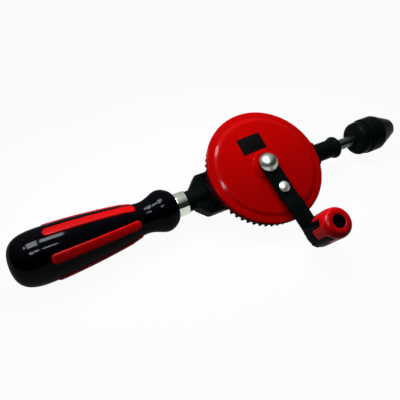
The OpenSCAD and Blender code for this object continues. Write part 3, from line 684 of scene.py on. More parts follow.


# Each finish has two tones, as two colours or as a colour of the panel and two shares of it, then its roughness, how
# far that strays, the scale of the drift, and what else it has. Grain and turning marks are given by their scale.
# Painted shade in the teeth behind the rim: where it starts along the axle, in metres, and its dark colour
TOOTH_SHADE = ((LAY @ Vector((0, 0, TEETH_SHADE_Z))).dot(Vector(AXLE)), (0.1, 0.003, 0.009))
PAINT_BEAD = ((RIM_R - BORDER_W - BEVEL_W) * MM, 0.12)
FINISHES = {
    "handle_plastic": (("handle", 1.0, 0.6), 0.3, 0.05, 40, dict(
        specular=0.0, coat=0.08, coat_roughness=0.06, grain=500, bump=0.02)),
    "strip_plastic": (("strips", 1.0, 0.85), 0.34, 0.1, 90, dict(
        specular=0.0, coat=0.08, coat_roughness=0.25, grain=1800, bump=0.12)),
    "plating": (("plating", 1.0, 0.85), 0.14, 0.06, 90, dict(metallic=1.0, turning=(SPINDLE, 2600), bump=0.06)),
    "axle_plating": (("plating", 0.75, 0.64), 0.3, 0.08, 160, dict(metallic=1.0, grain=1500, bump=0.05)),
    "rivet_plating": (("plating", 1.0, 0.85), 0.36, 0.08, 160, dict(metallic=0.7, grain=1500, bump=0.05)),
    "casting_paint": (("paint", 1.0, 0.6), 0.42, 0.14, 70, dict(specular=0.009, grain=700, bump=0.3)),
    "arm_paint": (("paint", 1.0, 0.6), 0.34, 0.1, 60, dict(specular=0.008, grain=900, bump=0.12)),
    "wheel_paint": (("wheel", 1.0, 0.86), 0.3, 0.05, 30, dict(
        specular=0.0, coat=0.03, coat_roughness=0.09, grain=260, bump=0.03, painted_shade=TOOTH_SHADE, bead=PAINT_BEAD)),
    "knob_plastic": (("knob", 1.0, 0.88), 0.3, 0.06, 60, dict(
        specular=0.02, coat=0.06, coat_roughness=0.2, grain=1200, bump=0.05)),
    "knob_black": (((0.002, 0.002, 0.005), (0.0015, 0.0015, 0.003)), 0.3, 0.08, 90, dict(
        specular=0.005, coat=0.02, coat_roughness=0.1, grain=1200, bump=0.06)),
    "chuck_oxide": (("oxide", 1.0, 0.7), 0.3, 0.1, 120, dict(specular=0.011, turning=(SPINDLE, 2200), bump=0.1)),
    "steel": (((0.2, 0.24, 0.22), (0.12, 0.15, 0.14)), 0.3, 0.14, 150, dict(
        metallic=1.0, turning=(SPINDLE, 1800), bump=0.2)),
    "spindle_steel": (((0.08, 0.105, 0.094), (0.05, 0.066, 0.06)), 0.28, 0.14, 150, dict(
        metallic=1.0, turning=(SPINDLE, 1800), bump=0.2)),
    "dark_steel": (((0.012, 0.014, 0.014), (0.007, 0.008, 0.008)), 0.42, 0.14, 150, dict(
        specular=0.04, turning=(SPINDLE, 1800), bump=0.2)),
    "axle_steel": (((0.4, 0.44, 0.41), (0.3, 0.33, 0.31)), 0.34, 0.12, 150, dict(
        metallic=1.0, turning=(AXLE, 1800), bump=0.15)),
    "bronze": (((0.47, 0.3, 0.12), (0.36, 0.22, 0.09)), 0.36, 0.12, 200, dict(metallic=1.0, grain=2500, bump=0.15)),
    "label_film": (((0.004, 0.004, 0.0045), (0.003, 0.003, 0.0032)), 0.3, 0.06, 120, dict(
        specular=0.02, grain=900, bump=0.03)),
}


def finish(name):
    """One of the finishes, made when it is first asked for."""
    label = "finish_" + name
    if label in bpy.data.materials:
        return bpy.data.materials[label]
    tones, roughness, spread, mottle, more = FINISHES[name]
    if isinstance(tones[0], str):
        base = getattr(bpy.context.scene.drill_colours, tones[0])
        tones = [[part * share for part in base] for share in tones[1:]]
    return finish_of(label, *tones, roughness, spread, mottle, **more)


# Pieces


def handle_outline():
    """Radius of the handle against its place, from the butt to the front face."""
    widest = HANDLE_BUTT + BUTT_LENGTH
    neck = widest + GRIP_LENGTH
    waist = neck + WAIST_LENGTH
    top = waist + COLLAR_SLOPE
    bends = (
        ((HANDLE_BUTT, 0), (HANDLE_BUTT, BUTT_HOLD[0] * HANDLE_R), (widest - BUTT_HOLD[1] * BUTT_LENGTH, HANDLE_R),
         (widest, HANDLE_R), 36),
        ((widest, HANDLE_R), (widest + GRIP_HOLD[0] * GRIP_LENGTH, HANDLE_R),
         (neck - GRIP_HOLD[1] * GRIP_LENGTH, NECK_R + GRIP_FULLNESS * (HANDLE_R - NECK_R)), (neck, NECK_R), 40),
        ((neck, NECK_R), (neck + WAIST_HOLD * WAIST_LENGTH, (NECK_R + WAIST_R) / 2),
         (waist - WAIST_HOLD * WAIST_LENGTH, WAIST_R), (waist, WAIST_R), 14),
        ((waist, WAIST_R), (waist + COLLAR_HOLD[0] * COLLAR_SLOPE, WAIST_R),
         (top - COLLAR_HOLD[1] * COLLAR_SLOPE, COLLAR_R), (top, COLLAR_R), 20),
        ((top, COLLAR_R), (top + FRONT_HOLD[0] * FRONT_SLOPE, COLLAR_R),
         (HANDLE_FRONT - FRONT_HOLD[1] * FRONT_SLOPE, (COLLAR_R + FRONT_R) / 2), (HANDLE_FRONT, FRONT_R), 20),
    )
    path = [(0.0, HANDLE_BUTT)]
    for bend in bends:
        path.extend((r, x) for x, r in curve(*bend))
    return path


def handle_radius(x):
    """Radius of the handle at one place along it."""
    points = handle_outline()
    for (r0, x0), (r1, x1) in zip(points, points[1:]):
        if x0 <= x <= x1:
            return r0 + (r1 - r0) * (x - x0) / (x1 - x0)
    raise ValueError("the place is not on the handle")


class DRILL_OT_handle(bpy.types.Operator):
    """Makes the smooth handle"""

    bl_idname = "drill.handle"
    bl_label = "Handle"

    def execute(self, context):
        spigot_r = FERRULE_R - FERRULE_WALL - HANDLE_PLAY
        end = REAR_END - HANDLE_END_PLAY
        path = handle_outline() + [(spigot_r, HANDLE_FRONT), (spigot_r, end), (0.0, end)]
        body = plain_mesh("handle_body", lathe(path, 192), ALONG_X)
        finish_piece("handle_body", body, "handle_plastic", "frame", ["handle_core"])
        return {"FINISHED"}


class DRILL_OT_strips(bpy.types.Operator):
    """Makes the crowned strips that are set into the handle"""

    bl_idname = "drill.strips"
    bl_label = "Grip Strips"

    def execute(self, context):
        sizes = context.scene.drill_sizes
        start = HANDLE_BUTT + BUTT_LENGTH + STRIP_START
        rear, front = start + STRIP_REAR_R, start + STRIP_LENGTH - STRIP_FRONT_R
        turns = [QUARTER * k / STRIP_END_STEPS for k in range(STRIP_END_STEPS + 1)]
        stations = [rear - STRIP_REAR_R * math.cos(a) for a in turns]
        stations += [rear + (front - rear) * k / STRIP_SIDE_STEPS for k in range(1, STRIP_SIDE_STEPS)]
        stations += [front + STRIP_FRONT_R * math.sin(a) for a in turns]

        def outline(x):
            surface = handle_radius(x)
            if x < rear:
                return STRIP_REAR_R, rear - x, surface
            if x > front:
                return STRIP_FRONT_R, x - front, surface
            return STRIP_REAR_R + (STRIP_FRONT_R - STRIP_REAR_R) * (x - rear) / (front - rear), 0.0, surface

        strip = raised(stations, outline, STRIP_CROSS_STEPS, 0.0, STRIP_DEPTH, sizes.strip_rise / MM,
                       sizes.strip_edge / MM, lambda x, y, z: (x, y, z))
        ring = ring_of(plain_mesh("grip_strip", strip), sizes.strips, SPINDLE, "strip_plastic", QUARTER)
        finish_piece("handle_strips", ring, "strip_plastic", "frame", ["grip_strips"], sharp=60)
        return {"FINISHED"}


class DRILL_OT_ferrule(bpy.types.Operator):
    """Makes the plated ferrule with its rolled ends"""

    bl_idname = "drill.ferrule"
    bl_label = "Ferrule"

    def execute(self, context):
        inner = FERRULE_R - FERRULE_WALL
        lip_r, lip_end = FLANGE_R + FLANGE_PLAY, REAR_END + FERRULE_LIP
        seat = REAR_END - REAR_PLAY
        path = rounded([
            (inner, HANDLE_FRONT, 0.2), (FERRULE_R, HANDLE_FRONT, 0.5), (FERRULE_R, lip_end, 0.25),
            (lip_r, lip_end, 0.1), (lip_r, seat, 0.05), (inner, seat, 0.1)], closed=True)
        ring = plain_mesh("ferrule_ring", lathe(path, closed=True), ALONG_X)
        finish_piece("ferrule_ring", ring, "plating", "frame", ["ferrule"])
        return {"FINISHED"}


class DRILL_OT_frame(bpy.types.Operator):
    """Makes the cast frame with softened edges, from its solid"""

    bl_idname = "drill.frame"
    bl_label = "Frame"

    def execute(self, context):
        mesh = frame["nodes"]["frame"].data.copy()
        work = bmesh.new()
        work.from_mesh(mesh)
        bmesh.ops.remove_doubles(work, verts=work.verts, dist=1e-6)
        work.to_mesh(mesh)
        work.free()
        item = linked("frame_casting_work", mesh)
        remesh = item.modifiers.new("Skin", "REMESH")
        remesh.mode = "VOXEL"
        remesh.voxel_size = context.scene.drill_sizes.casting_round
        smooth = item.modifiers.new("Soft edges", "SMOOTH")
        smooth.factor = CASTING_SMOOTHING
        smooth.iterations = CASTING_PASSES
        swell = item.modifiers.new("Paint", "DISPLACE")
        swell.mid_level = 0.0
        swell.strength = CASTING_SKIN * MM
        skin = baked(item)
        skin.transform(LAY.inverted())
        finish_piece("frame_casting", skin, "casting_paint", "frame", ["frame"], sharp=180)
        return {"FINISHED"}


def bevel_tooth():
    """One tooth of the wheel, along +X, with rounded flanks on a sphere about the crossing of the axes.

    With it come the inner and outer edge of the ring that the teeth stand on.
    """
    wheel_r = GEAR_MODULE * WHEEL_TEETH / 2
    pinion_r = GEAR_MODULE * PINION_TEETH / 2
    outer = math.hypot(wheel_r, pinion_r)
    inner = outer - TOOTH_LENGTH
    cone = math.atan(WHEEL_TEETH / PINION_TEETH)
    tip = cone + math.atan(WHEEL_ADDENDUM * GEAR_MODULE / outer)
    root = cone - math.atan((PINION_ADDENDUM + ROOT_GAP) * GEAR_MODULE / outer)
    base = math.asin(math.cos(PRESSURE_ANGLE) * math.sin(cone))

    def flank(t):
        if t <= base:
            return 0.0
        return math.acos(math.cos(t) / math.cos(base)) / math.sin(base) - math.acos(math.tan(base) / math.tan(t))

    half_pitch = math.pi / 2 / WHEEL_TEETH - BACKLASH / 4 / wheel_r
    angles = [root - TOOTH_SINK / outer]
    angles += [root + (tip - root) * k / FLANK_STEPS for k in range(1, FLANK_STEPS + 1)]
    halves = [half_pitch + flank(cone) - flank(max(t, root)) for t in angles]
    halves[-1] *= CROWN_SHARE
    halves[-2] *= SHOULDER_SHARE
    angles[-1] -= CROWN_DROP
    verts, faces = [], []
    n = len(angles)
    for r in (outer, inner):
        for side in (-1, 1):
            for t, half in zip(angles, halves):
                turn = side * half
                verts.append((r * math.sin(t) * math.cos(turn), r * math.sin(t) * math.sin(turn), r * math.cos(t)))
    for k in range(n - 1):
        faces.append([k, n + k, n + k + 1, k + 1])
        faces.append([2 * n + k, 2 * n + k + 1, 3 * n + k + 1, 3 * n + k])
        faces.append([k, k + 1, 2 * n + k + 1, 2 * n + k])
        faces.append([n + k + 1, n + k, 3 * n + k, 3 * n + k + 1])
    faces.append([n - 1, 2 * n - 1, 4 * n - 1, 3 * n - 1])
    faces.append([n, 0, 2 * n, 3 * n])
    ring_in = inner * math.sin(root) - TOOTH_SINK
    ring_out = outer * math.sin(root) + TOOTH_SINK
    slope = 1 / math.tan(root)
    return (verts, faces), (ring_in, ring_in * slope), (ring_out, ring_out * slope)


class DRILL_OT_wheel(bpy.types.Operator):
    """Makes the painted wheel with its ring of bevel teeth"""

    bl_idname = "drill.wheel"
    bl_label = "Gear Wheel"

    def execute(self, context):
        tooth, ring_in, ring_out = bevel_tooth()
        path = rounded([
            (WHEEL_BORE_R, WHEEL_BACK, 0.3), (WHEEL_HUB_R, WHEEL_BACK, 0.6), (WHEEL_HUB_R, WEB_BACK, 0.8),
            (ring_in[0], WEB_BACK, 0.5), (*ring_in, 0.3), (*ring_out, 0.3), (ring_out[0], RIM_BACK, 0.4),
            (RIM_R, RIM_BACK, 0.9), (RIM_R, RIM_Z, 1.2), (RIM_R - BORDER_W + BEVEL_OUT, RIM_Z, BEVEL_OUT_ROUND),
            (RIM_R - BORDER_W - BEVEL_W - BEVEL_IN, FACE_Z, BEVEL_IN_ROUND), (SEAT_R + SEAT_FOOT, FACE_Z, 0.6),
            (SEAT_R - SEAT_DRAFT, SEAT_Z, 0.5), (WHEEL_BORE_R, SEAT_Z, 0.2)], closed=True, steps=6)
        disc = plain_mesh("wheel_disc", lathe(path, 256, closed=True))
        foot = FACE_Z - RIVET_PAD_SINK
        pad_path = rounded([(0, foot), (RIVET_PAD_R + RIVET_PAD_FOOT, foot), (RIVET_PAD_R, SEAT_Z, 0.5), (0, SEAT_Z)])
        pad = plain_mesh("rivet_pad", lathe(pad_path, 64), AT_RIVET)
        teeth = ring_of(plain_mesh("wheel_tooth", tooth), WHEEL_TEETH, (0, 0, 1), "wheel_paint")
        wheel = merged("wheel_gear", disc, pad, teeth)
        finish_piece("wheel_gear", wheel, "wheel_paint", "wheel", ["gear_wheel"], sharp=40)
        return {"FINISHED"}


class DRILL_OT_label(bpy.types.Operator):
    """Makes a plain dark label on the wheel's face"""

    bl_idname = "drill.label"
    bl_label = "Plain Label"

    def execute(self, context):
        width, height = LABEL_SIZE
        levels = ((0, -LABEL_SINK), (0, LABEL_EDGE_Z), (LABEL_EDGE_W, LABEL_T))
        verts = []
        for inset, z in levels:
            r = LABEL_CORNER - inset
            for quarter, (x, y) in enumerate(((1, 1), (-1, 1), (-1, -1), (1, -1))):
                for k in range(LABEL_CORNER_STEPS + 1):
                    a = QUARTER * (quarter + k / LABEL_CORNER_STEPS)
                    verts.append((x * (width / 2 - LABEL_CORNER) + r * math.cos(a),
                                  y * (height / 2 - LABEL_CORNER) + r * math.sin(a), z))
        faces = ring_faces(len(levels), len(verts) // len(levels), capped=True)
        place = Matrix.Translation((*LABEL_PLACE, FACE_Z)) @ Matrix.Rotation(LABEL_TURN, 4, "Z")
        finish_piece("wheel_label", plain_mesh("wheel_label", (verts, faces), place), "label_film", "wheel")
        return {"FINISHED"}


def dome(r, foot, height):
    """A domed head with a rounded edge, closed underneath."""
    height = height - DOME_LIP
    ball = (r * r + height * height) / (2 * height)
    reach = math.asin(r / ball)
    edge = foot + DOME_LIP
    cap = []
    for k in range(DOME_STEPS):
        a = reach * k / DOME_STEPS
        cap.append((ball * math.sin(a), edge + height - ball + ball * math.cos(a)))
    return rounded(cap + [(r, edge, 0.2), (r, foot, 0.15), (0.0, foot)])


class DRILL_OT_rivets(bpy.types.Operator):
    """Makes the axle's head and the rivet in the arm"""

    bl_idname = "drill.rivets"
    bl_label = "Axle And Rivet"

    def execute(self, context):
        head = ARM_TOP + END_PLAY
        shank = rounded([(0, AXLE_BACK), (AXLE_R, AXLE_BACK, 0.6), (AXLE_R, head), (0, head)])
        bolt = joined(lathe(dome(AXLE_HEAD_R, head, AXLE_HEAD_H), 96), lathe(shank, 64))
        finish_piece("axle_pin", plain_mesh("axle_pin", bolt), "axle_plating", "frame", ["axle_bolt"])
        tail = WEB_BACK - RIVET_TAIL_T
        shank = rounded([(0, tail), (RIVET_TAIL_R, tail, 0.4), (RIVET_TAIL_R, WEB_BACK), (RIVET_R, WEB_BACK),
                         (RIVET_R, ARM_TOP), (0, ARM_TOP)])
        rivet = joined(lathe(dome(RIVET_HEAD_R, ARM_TOP, RIVET_HEAD_H), 80), lathe(shank, 48))
        mesh = plain_mesh("arm_rivet", rivet, AT_RIVET)
        finish_piece("arm_rivet", mesh, "rivet_plating", "wheel", ["drive_rivet"])
        return {"FINISHED"}


class DRILL_OT_arm(bpy.types.Operator):
    """Makes the flat arm with its step and rounded edges"""

    bl_idname = "drill.arm"
    bl_label = "Crank Arm"

    def execute(self, context):
        edge = context.scene.drill_sizes.arm_edge / MM
        turns = [QUARTER * k / ARM_END_STEPS for k in range(ARM_END_STEPS + 1)]
        section = []
        for k in range(ARM_EDGE_STEPS + 1):
            a = QUARTER * k / ARM_EDGE_STEPS
            section.append((edge * (1 - math.sin(a)), edge * (1 - math.cos(a))))
        section += [(inset, ARM_T - z) for inset, z in reversed(section)]

        def lift(x):
            share = min(max((x - STEP_START) / (STEP_END - STEP_START), 0), 1)
            return ARM_STEP * (3 * share ** 2 - 2 * share ** 3)

        def outline(inset):
            r = ARM_W / 2 - inset
            side = [(-r * math.cos(a), r * math.sin(a)) for a in turns[:-1]]
            side += [(CRANK_R * k / ARM_SIDE_STEPS, r) for k in range(ARM_SIDE_STEPS)]
            side += [(CRANK_R + r * math.sin(a), r * math.cos(a)) for a in turns]
            return side + [(x, -y) for x, y in reversed(side[1:-1])]

        verts = []
        for inset, z in section:
            verts.extend((x, y, ARM_TOP - ARM_T + z + lift(x)) for x, y in outline(inset))
        count = len(verts) // len(section)
        faces = ring_faces(len(section), count)
        for base in (0, len(verts) - count):
            for k in range(count // 2):
                add_face(faces, [base + i % count for i in (k, k + 1, count - k - 1, count - k)])
        plate = plain_mesh("arm_plate", (verts, faces), ON_CRANK)
        finish_piece("arm_plate", plate, "arm_paint", "wheel", ["crank_arm"], sharp=50)
        return {"FINISHED"}


def hole_shade_skin():
    """Section of a thin black skin in the knob's hole that follows its rounding, a painted shade over the hole's red
    wall.
    """
    path = [(KNOB_HOLE_R - HOLE_SHADE_FOOT, KNOB_FLOOR), (KNOB_HOLE_R + HOLE_SHADE_IN, KNOB_FLOOR)]
    turns = [HOLE_SHADE_TURN * k / HOLE_SHADE_STEPS for k in range(HOLE_SHADE_STEPS + 1)]
    for r, angles in ((KNOB_HOLE_ROUND - HOLE_SHADE_IN, turns), (KNOB_HOLE_ROUND + HOLE_SHADE_OUT, turns[::-1])):
        path += [(KNOB_HOLE_R + KNOB_HOLE_ROUND - r * math.cos(a), KNOB_END - KNOB_HOLE_ROUND + r * math.sin(a))
                 for a in angles]
    return path


def knob_rib(rise):
    """One rib of the knob, along +X from the knob's own axis."""
    straight = RIB_LENGTH - RIB_ROUND
    stations = [straight * k / RIB_SIDE_STEPS for k in range(RIB_SIDE_STEPS)]
    stations += [straight + RIB_ROUND * math.sin(QUARTER * k / RIB_END_STEPS) for k in range(RIB_END_STEPS + 1)]
    surface = KNOB_R - RIB_FOOT
    return raised(stations, lambda h: (RIB_ROUND, max(h - straight, 0), surface), RIB_CROSS_STEPS,
                  RIB_W / 2 - RIB_ROUND, surface - COLLAR_INNER_R, rise + RIB_FOOT, RIB_EDGE,
                  lambda h, y, r: (r, y, KNOB_SHOULDER - RIB_SINK + h), capped=True)


class DRILL_OT_knob(bpy.types.Operator):
    """Makes the knob with its black base and ribs"""

    bl_idname = "drill.knob"
    bl_label = "Knob"

    def execute(self, context):
        sizes = context.scene.drill_sizes
        body = rounded([
            (KNOB_TUBE_R, KNOB_SHOULDER, 0.1), (KNOB_R - KNOB_TAPER, KNOB_SHOULDER, 0.25),
            (KNOB_R, KNOB_END, KNOB_ROUND), (KNOB_HOLE_R, KNOB_END, KNOB_HOLE_ROUND), (KNOB_HOLE_R, KNOB_FLOOR, 0.3),
            (KNOB_TUBE_R, KNOB_FLOOR, 0.1)], closed=True, steps=12)
        grip = plain_mesh("knob_body", lathe(body, 128, closed=True), AT_KNOB)
        finish_piece("knob_body", grip, "knob_plastic", "knob", ["knob_grip"])
        base = rounded([
            (KNOB_PIN_R, KNOB_FOOT, 0.1), (KNOB_BASE_R, KNOB_FOOT, 0.5),
            (KNOB_R - KNOB_BASE_TAPER, KNOB_SHOULDER, 0.5), (KNOB_TUBE_R, KNOB_SHOULDER, 0.05),
            (KNOB_TUBE_R, KNOB_FLOOR, 0.1), (KNOB_PIN_R, KNOB_FLOOR, 0.1)], closed=True)
        low, high = KNOB_SHOULDER - COLLAR_SINK, KNOB_SHOULDER + COLLAR_RISE
        collar = rounded([
            (COLLAR_INNER_R, low, 0.1), (KNOB_R - COLLAR_TAPER, low, 0.4), (KNOB_R, high, 0.3),
            (COLLAR_INNER_R, high, 0.1)], closed=True)
        # The black skin in the hole is a painted shade
        foot = plain_mesh("knob_foot", joined(
            lathe(base, 128, closed=True), lathe(hole_shade_skin(), 96, closed=True), lathe(collar, 128, closed=True)),
            AT_KNOB)
        rib = plain_mesh("knob_rib", knob_rib(sizes.rib_rise / MM))
        ribs = ring_of(rib, sizes.ribs, (0, 0, 1), "knob_black", RIB_TURN)
        ribs.transform(AT_KNOB)
        core = merged("knob_base", foot, ribs)
        finish_piece("knob_base", core, "knob_black", "knob", ["knob_core"], sharp=50)
        return {"FINISHED"}


class DRILL_OT_chuck(bpy.types.Operator):
    """Makes the chuck's rear ring and its tapered sleeve"""

    bl_idname = "drill.chuck"
    bl_label = "Chuck"

    def execute(self, context):
        ring_end = CHUCK_X + RING_LENGTH
        sleeve_x = ring_end + RING_GAP
        lip_end = sleeve_x + SLEEVE_LIP
        cone_x = sleeve_x + SLEEVE_LENGTH
        mouth = cone_x + CONE_LENGTH
        clip_x = lip_end + END_PLAY
        clip_end = clip_x + CLIP_T
        stem_end = clip_x + 2 * CLIP_T
        screw_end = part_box("chuck_body")[1].x / MM + mouth
        bore_end = CHUCK_X + BODY_BORE_LENGTH
        path = rounded([
            (BODY_BORE_R, CHUCK_X, 0.2), (RING_R, CHUCK_X, RING_ROUND), (RING_R, ring_end, 0.7),
            (STEM_R, ring_end, 0.1), (STEM_R, clip_x, 0.05), (STEM_R - CLIP_DEPTH, clip_x, 0.05),
            (STEM_R - CLIP_DEPTH, clip_end, 0.05), (STEM_R, clip_end, 0.05), (STEM_R, stem_end, 0.2),
            (SCREW_R, stem_end, 0.1), (SCREW_R, screw_end, 0.4), (0.0, screw_end)], steps=8)
        path += [(0.0, bore_end), (BODY_BORE_R, bore_end)]
        ring = plain_mesh("chuck_ring", lathe(path, closed=True), ALONG_X)
        finish_piece("chuck_ring", ring, "chuck_oxide", "spindle", ["chuck_body"])
        inner = SLEEVE_R - SLEEVE_WALL
        slope = (SLEEVE_R - NOSE_R) / (CONE_LENGTH - NOSE_ROUND)
        stem = STEM_R + RUNNING_FIT
        cone_end = mouth - (inner - MOUTH_R) / slope
        path = rounded([
            (stem, sleeve_x, 0.1), (SLEEVE_R, sleeve_x, 0.7), (SLEEVE_R, cone_x, 1.2),
            (NOSE_R + NOSE_SWELL, mouth, 1.1), (MOUTH_R, mouth, 0.2), (inner, cone_end), (inner, lip_end, 0.2),
            (stem, lip_end, 0.1)], closed=True, steps=8)
        blank = plain_mesh("chuck_sleeve_work", lathe(path, 192, closed=True), ALONG_X)
        sleeve = linked("chuck_sleeve_work", blank)
        angle = math.atan(slope)
        axis_mouth = MOUTH_R + (GROOVE_DEPTH - JAW_R - SLIDE_ROOM) / math.cos(angle)
        groove_r = JAW_R + SLIDE_ROOM
        low, high = -GROOVE_PAST_MOUTH, (mouth - cone_end) / math.cos(angle) - GROOVE_SHORT
        place = Matrix.Translation((mouth, 0, axis_mouth)) @ Matrix.Rotation(angle - QUARTER, 4, "Y")
        groove = plain_mesh("jaw_groove", lathe([(0, low), (groove_r, low), (groove_r, high), (0, high)], 48), place)
        cutter = linked("jaw_grooves", ring_of(groove, JAWS, SPINDLE, "chuck_oxide"))
        cut = sleeve.modifiers.new("Grooves", "BOOLEAN")
        cut.operation = "DIFFERENCE"
        cut.object = cutter
        cut.solver = "EXACT"
        shell = baked(sleeve)
        bpy.data.objects.remove(cutter)
        finish_piece("chuck_shell", shell, "chuck_oxide", "sleeve", ["chuck_sleeve"], sharp=30)
        return {"FINISHED"}


NODE_FINISHES = {
    "steel": ("handle_tang", "idler_stud", "pinion_pin", "thrust_washers", "sleeve_clip", "jaw_pusher",
              "jaw_a", "jaw_b", "jaw_c"),
    "spindle_steel": ("spindle",),
    "dark_steel": ("drive_pinion", "idler_pinion", "knob_pin"),
    "axle_steel": ("axle_nut", "axle_washer", "wheel_washer"),
    "bronze": ("spindle_bush", "tail_bush", "wheel_bush"),
}


class DRILL_OT_inner(bpy.types.Operator):
    """Gives the solids that stay as they are their metal finishes"""

    bl_idname = "drill.inner"
    bl_label = "Inner Parts"

    def execute(self, context):
        for name, nodes in NODE_FINISHES.items():
            for item in nodes:
                mesh = frame["nodes"][item].data
                mesh.materials.clear()
                mesh.materials.append(finish(name))
        return {"FINISHED"}


# Stage

# The camera in millimetres about the crossing of the axes, with the directions to its right and down
CAMERA_PLACE = (-150.713, -69.595, 278.775)
CAMERA_RIGHT = (0.88456, -0.41347, 0.21590)
CAMERA_DOWN = (-0.33149, -0.88287, -0.33267)
CAMERA_LENS = 36.9
CAMERA_SENSOR = 36.0
CAMERA_SHIFT = -0.0009
CAMERA_CLIP = 0.01
# Panes overhead that show in gloss only, as (x, y, width, depth) in metres
PANES = ((-0.705, 0.16, 0.08, 0.2), (-0.49, 0.16, 0.24, 0.4), (-0.255, 0.18, 0.16, 0.24),
         (-0.575, -0.45, 0.13, 0.2), (-0.43, -0.42, 0.1, 0.14), (-0.27, -0.42, 0.12, 0.1))
PANE_HEIGHT = 1.0
PANE_LIGHT = 190.0
PANE_COLOUR = (0.78, 0.87, 1.0)
# A soft lamp over the handle in metres, and one beside the wheel in millimetres about the crossing of the axes
SOFT_LAMP = (-0.26, 0.04, 0.14)
SOFT_AIM = (-0.26, 0.0, 0.02)
SOFT_SIZE = (0.12, 0.12)
SOFT_LIGHT = 0.18
NEAR_LAMP = (30, 130, 130)
NEAR_SIZE = (0.1, 0.1)
NEAR_LIGHT = 0.31
# The floor's colour where it throws light back, its colour where it is looked at, and how much of that look is
# pure white
FLOOR_SPAN = 6.0
FLOOR_FILL = (0.15, 0.15, 0.15)
FLOOR_PALE = (0.95, 0.95, 0.95)
FLOOR_WHITE = 0.95
# The room's light on the drill, and how bright the room is in gloss, from its dark part to its bright part
WORLD_LIGHT = 0.05
SKY_UP = (0.0, 0.6, 1.0)
SKY_DARK, SKY_DARK_AT = 0.02, 0.3
SKY_BRIGHT, SKY_BRIGHT_AT = 0.62, 0.95


def lamp(name, place, target, size, power, colour=(1, 1, 1)):
    """A lamp with a rectangular face, aimed at a point."""
    data = bpy.data.lights.new(name, "AREA")
    data.shape = "RECTANGLE"
    data.size, data.size_y = size
    data.energy = power
    data.color = colour
    item = linked(name, data)
    item.location = place
    item.rotation_euler = (Vector(target) - Vector(place)).to_track_quat("-Z", "Y").to_euler()
    return item


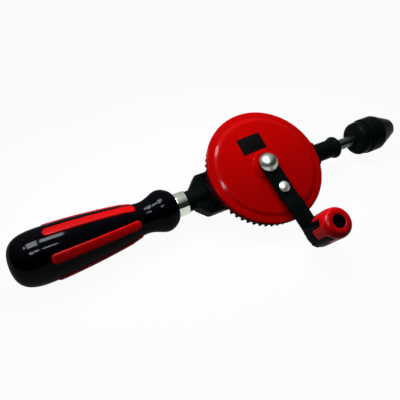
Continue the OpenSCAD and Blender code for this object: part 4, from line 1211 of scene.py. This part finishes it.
class DRILL_OT_stage(bpy.types.Operator):
    """Makes the pale floor, the light and the camera"""

    bl_idname = "drill.stage"
    bl_label = "Stage"

    def execute(self, context):
        scene = context.scene
        scene.view_settings.view_transform = "Standard"
        self.lay_floor()
        self.light_world(scene)
        for x, y, wide, deep in PANES:
            pane = lamp("pane", (x, y, PANE_HEIGHT), (x, y, 0.0), (wide, deep), PANE_LIGHT * wide * deep, PANE_COLOUR)
            pane.visible_diffuse = False
        for item in (
                lamp("soft", SOFT_LAMP, SOFT_AIM, SOFT_SIZE, SOFT_LIGHT),
                lamp("near", LAY @ Vector(NEAR_LAMP), LAY @ Vector((0, 0, FACE_Z)), NEAR_SIZE, NEAR_LIGHT)):
            item.visible_glossy = False
            item.visible_camera = False
        self.set_camera(scene)
        return {"FINISHED"}

    @staticmethod
    def set_camera(scene):
        camera = bpy.data.cameras.new("camera")
        camera.sensor_width = CAMERA_SENSOR
        camera.lens = CAMERA_LENS
        camera.clip_start = CAMERA_CLIP
        camera.shift_y = CAMERA_SHIFT
        turned = LAY.to_3x3().normalized()
        right, down = (turned @ Vector(CAMERA_RIGHT)).normalized(), turned @ Vector(CAMERA_DOWN)
        down = (down - right * down.dot(right)).normalized()
        turn = Matrix((right, -down, -right.cross(down))).transposed().to_4x4()
        item = linked("camera", camera)
        item.matrix_world = Matrix.Translation(LAY @ Vector(CAMERA_PLACE)) @ turn
        scene.camera = item

    @staticmethod
    def lay_floor():
        mesh = bpy.data.meshes.new("floor")
        low = CAD_BOX[0].z
        corners = ((-1, -1), (1, -1), (1, 1), (-1, 1))
        mesh.from_pydata([(x * FLOOR_SPAN, y * FLOOR_SPAN, low) for x, y in corners], [], [[0, 1, 2, 3]])
        floor = linked("floor", mesh)
        material = bpy.data.materials.new("pale_floor")
        material.use_nodes = True
        tree = material.node_tree
        path = tree.nodes.new("ShaderNodeLightPath").outputs
        seen = path["Is Camera Ray"]
        for ray in ("Is Glossy Ray", "Is Transmission Ray"):
            seen = node(tree, "ShaderNodeMath", seen, path[ray], operation="MAXIMUM").outputs[0]
        shade = node(tree, "ShaderNodeMix", data_type="RGBA", Factor=seen, A=rgba(FLOOR_FILL), B=rgba(FLOOR_PALE))
        shader = fill(tree, tree.nodes["Principled BSDF"], Base_Color=shade.outputs["Result"], Roughness=0.9,
                      Specular_IOR_Level=0.0)
        glow = node(tree, "ShaderNodeEmission", Color=(1, 1, 1, 1), Strength=1.0)
        share = node(tree, "ShaderNodeMath", seen, FLOOR_WHITE, operation="MULTIPLY")
        mix = node(tree, "ShaderNodeMixShader", share.outputs[0], shader.outputs[0], glow.outputs[0])
        tree.links.new(mix.outputs[0], tree.nodes["Material Output"].inputs["Surface"])
        mesh.materials.append(material)

    @staticmethod
    def light_world(scene):
        world = bpy.data.worlds.new("studio")
        scene.world = world
        world.use_nodes = True
        tree = world.node_tree
        path = tree.nodes.new("ShaderNodeLightPath").outputs
        outwards = tree.nodes.new("ShaderNodeTexCoord").outputs["Generated"]
        height = node(tree, "ShaderNodeVectorMath", outwards, SKY_UP, operation="DOT_PRODUCT")
        sky = node(tree, "ShaderNodeMapRange", Value=height.outputs["Value"], From_Min=SKY_DARK_AT,
                   From_Max=SKY_BRIGHT_AT, To_Min=SKY_DARK, To_Max=SKY_BRIGHT)
        strength = WORLD_LIGHT
        for ray, value in (("Is Glossy Ray", sky.outputs["Result"]), ("Is Transmission Ray", 1.0),
                           ("Is Camera Ray", 1.0)):
            strength = node(tree, "ShaderNodeMix", Factor=path[ray], A=strength, B=value).outputs["Result"]
        fill(tree, tree.nodes["Background"], Color=(1, 1, 1, 1), Strength=strength)


class DRILL_PT_panel(bpy.types.Panel):
    """Lists the pieces of the drill"""

    bl_idname = "DRILL_PT_panel"
    bl_label = "Hand Drill"
    bl_space_type = "VIEW_3D"
    bl_region_type = "UI"
    bl_category = "Hand Drill"

    def draw(self, context):
        for group in (context.scene.drill_sizes, context.scene.drill_colours):
            for name in group.__annotations__:
                self.layout.prop(group, name)
        for operator in OPERATORS:
            self.layout.operator(operator.bl_idname)


OPERATORS = (
    DRILL_OT_handle,
    DRILL_OT_strips,
    DRILL_OT_ferrule,
    DRILL_OT_frame,
    DRILL_OT_wheel,
    DRILL_OT_label,
    DRILL_OT_rivets,
    DRILL_OT_arm,
    DRILL_OT_knob,
    DRILL_OT_chuck,
    DRILL_OT_inner,
    DRILL_OT_stage,
)
CLASSES = (DrillColours, DrillSizes) + OPERATORS + (DRILL_PT_panel,)


def register():
    for item in CLASSES:
        bpy.utils.register_class(item)
    bpy.types.Scene.drill_colours = PointerProperty(type=DrillColours)
    bpy.types.Scene.drill_sizes = PointerProperty(type=DrillSizes)


def unregister():
    del bpy.types.Scene.drill_sizes
    del bpy.types.Scene.drill_colours
    for item in reversed(CLASSES):
        bpy.utils.unregister_class(item)


def main():
    register()
    for operator in OPERATORS:
        group, name = operator.bl_idname.split(".")
        getattr(getattr(bpy.ops, group), name)()


if __name__ == "__main__":
    main()
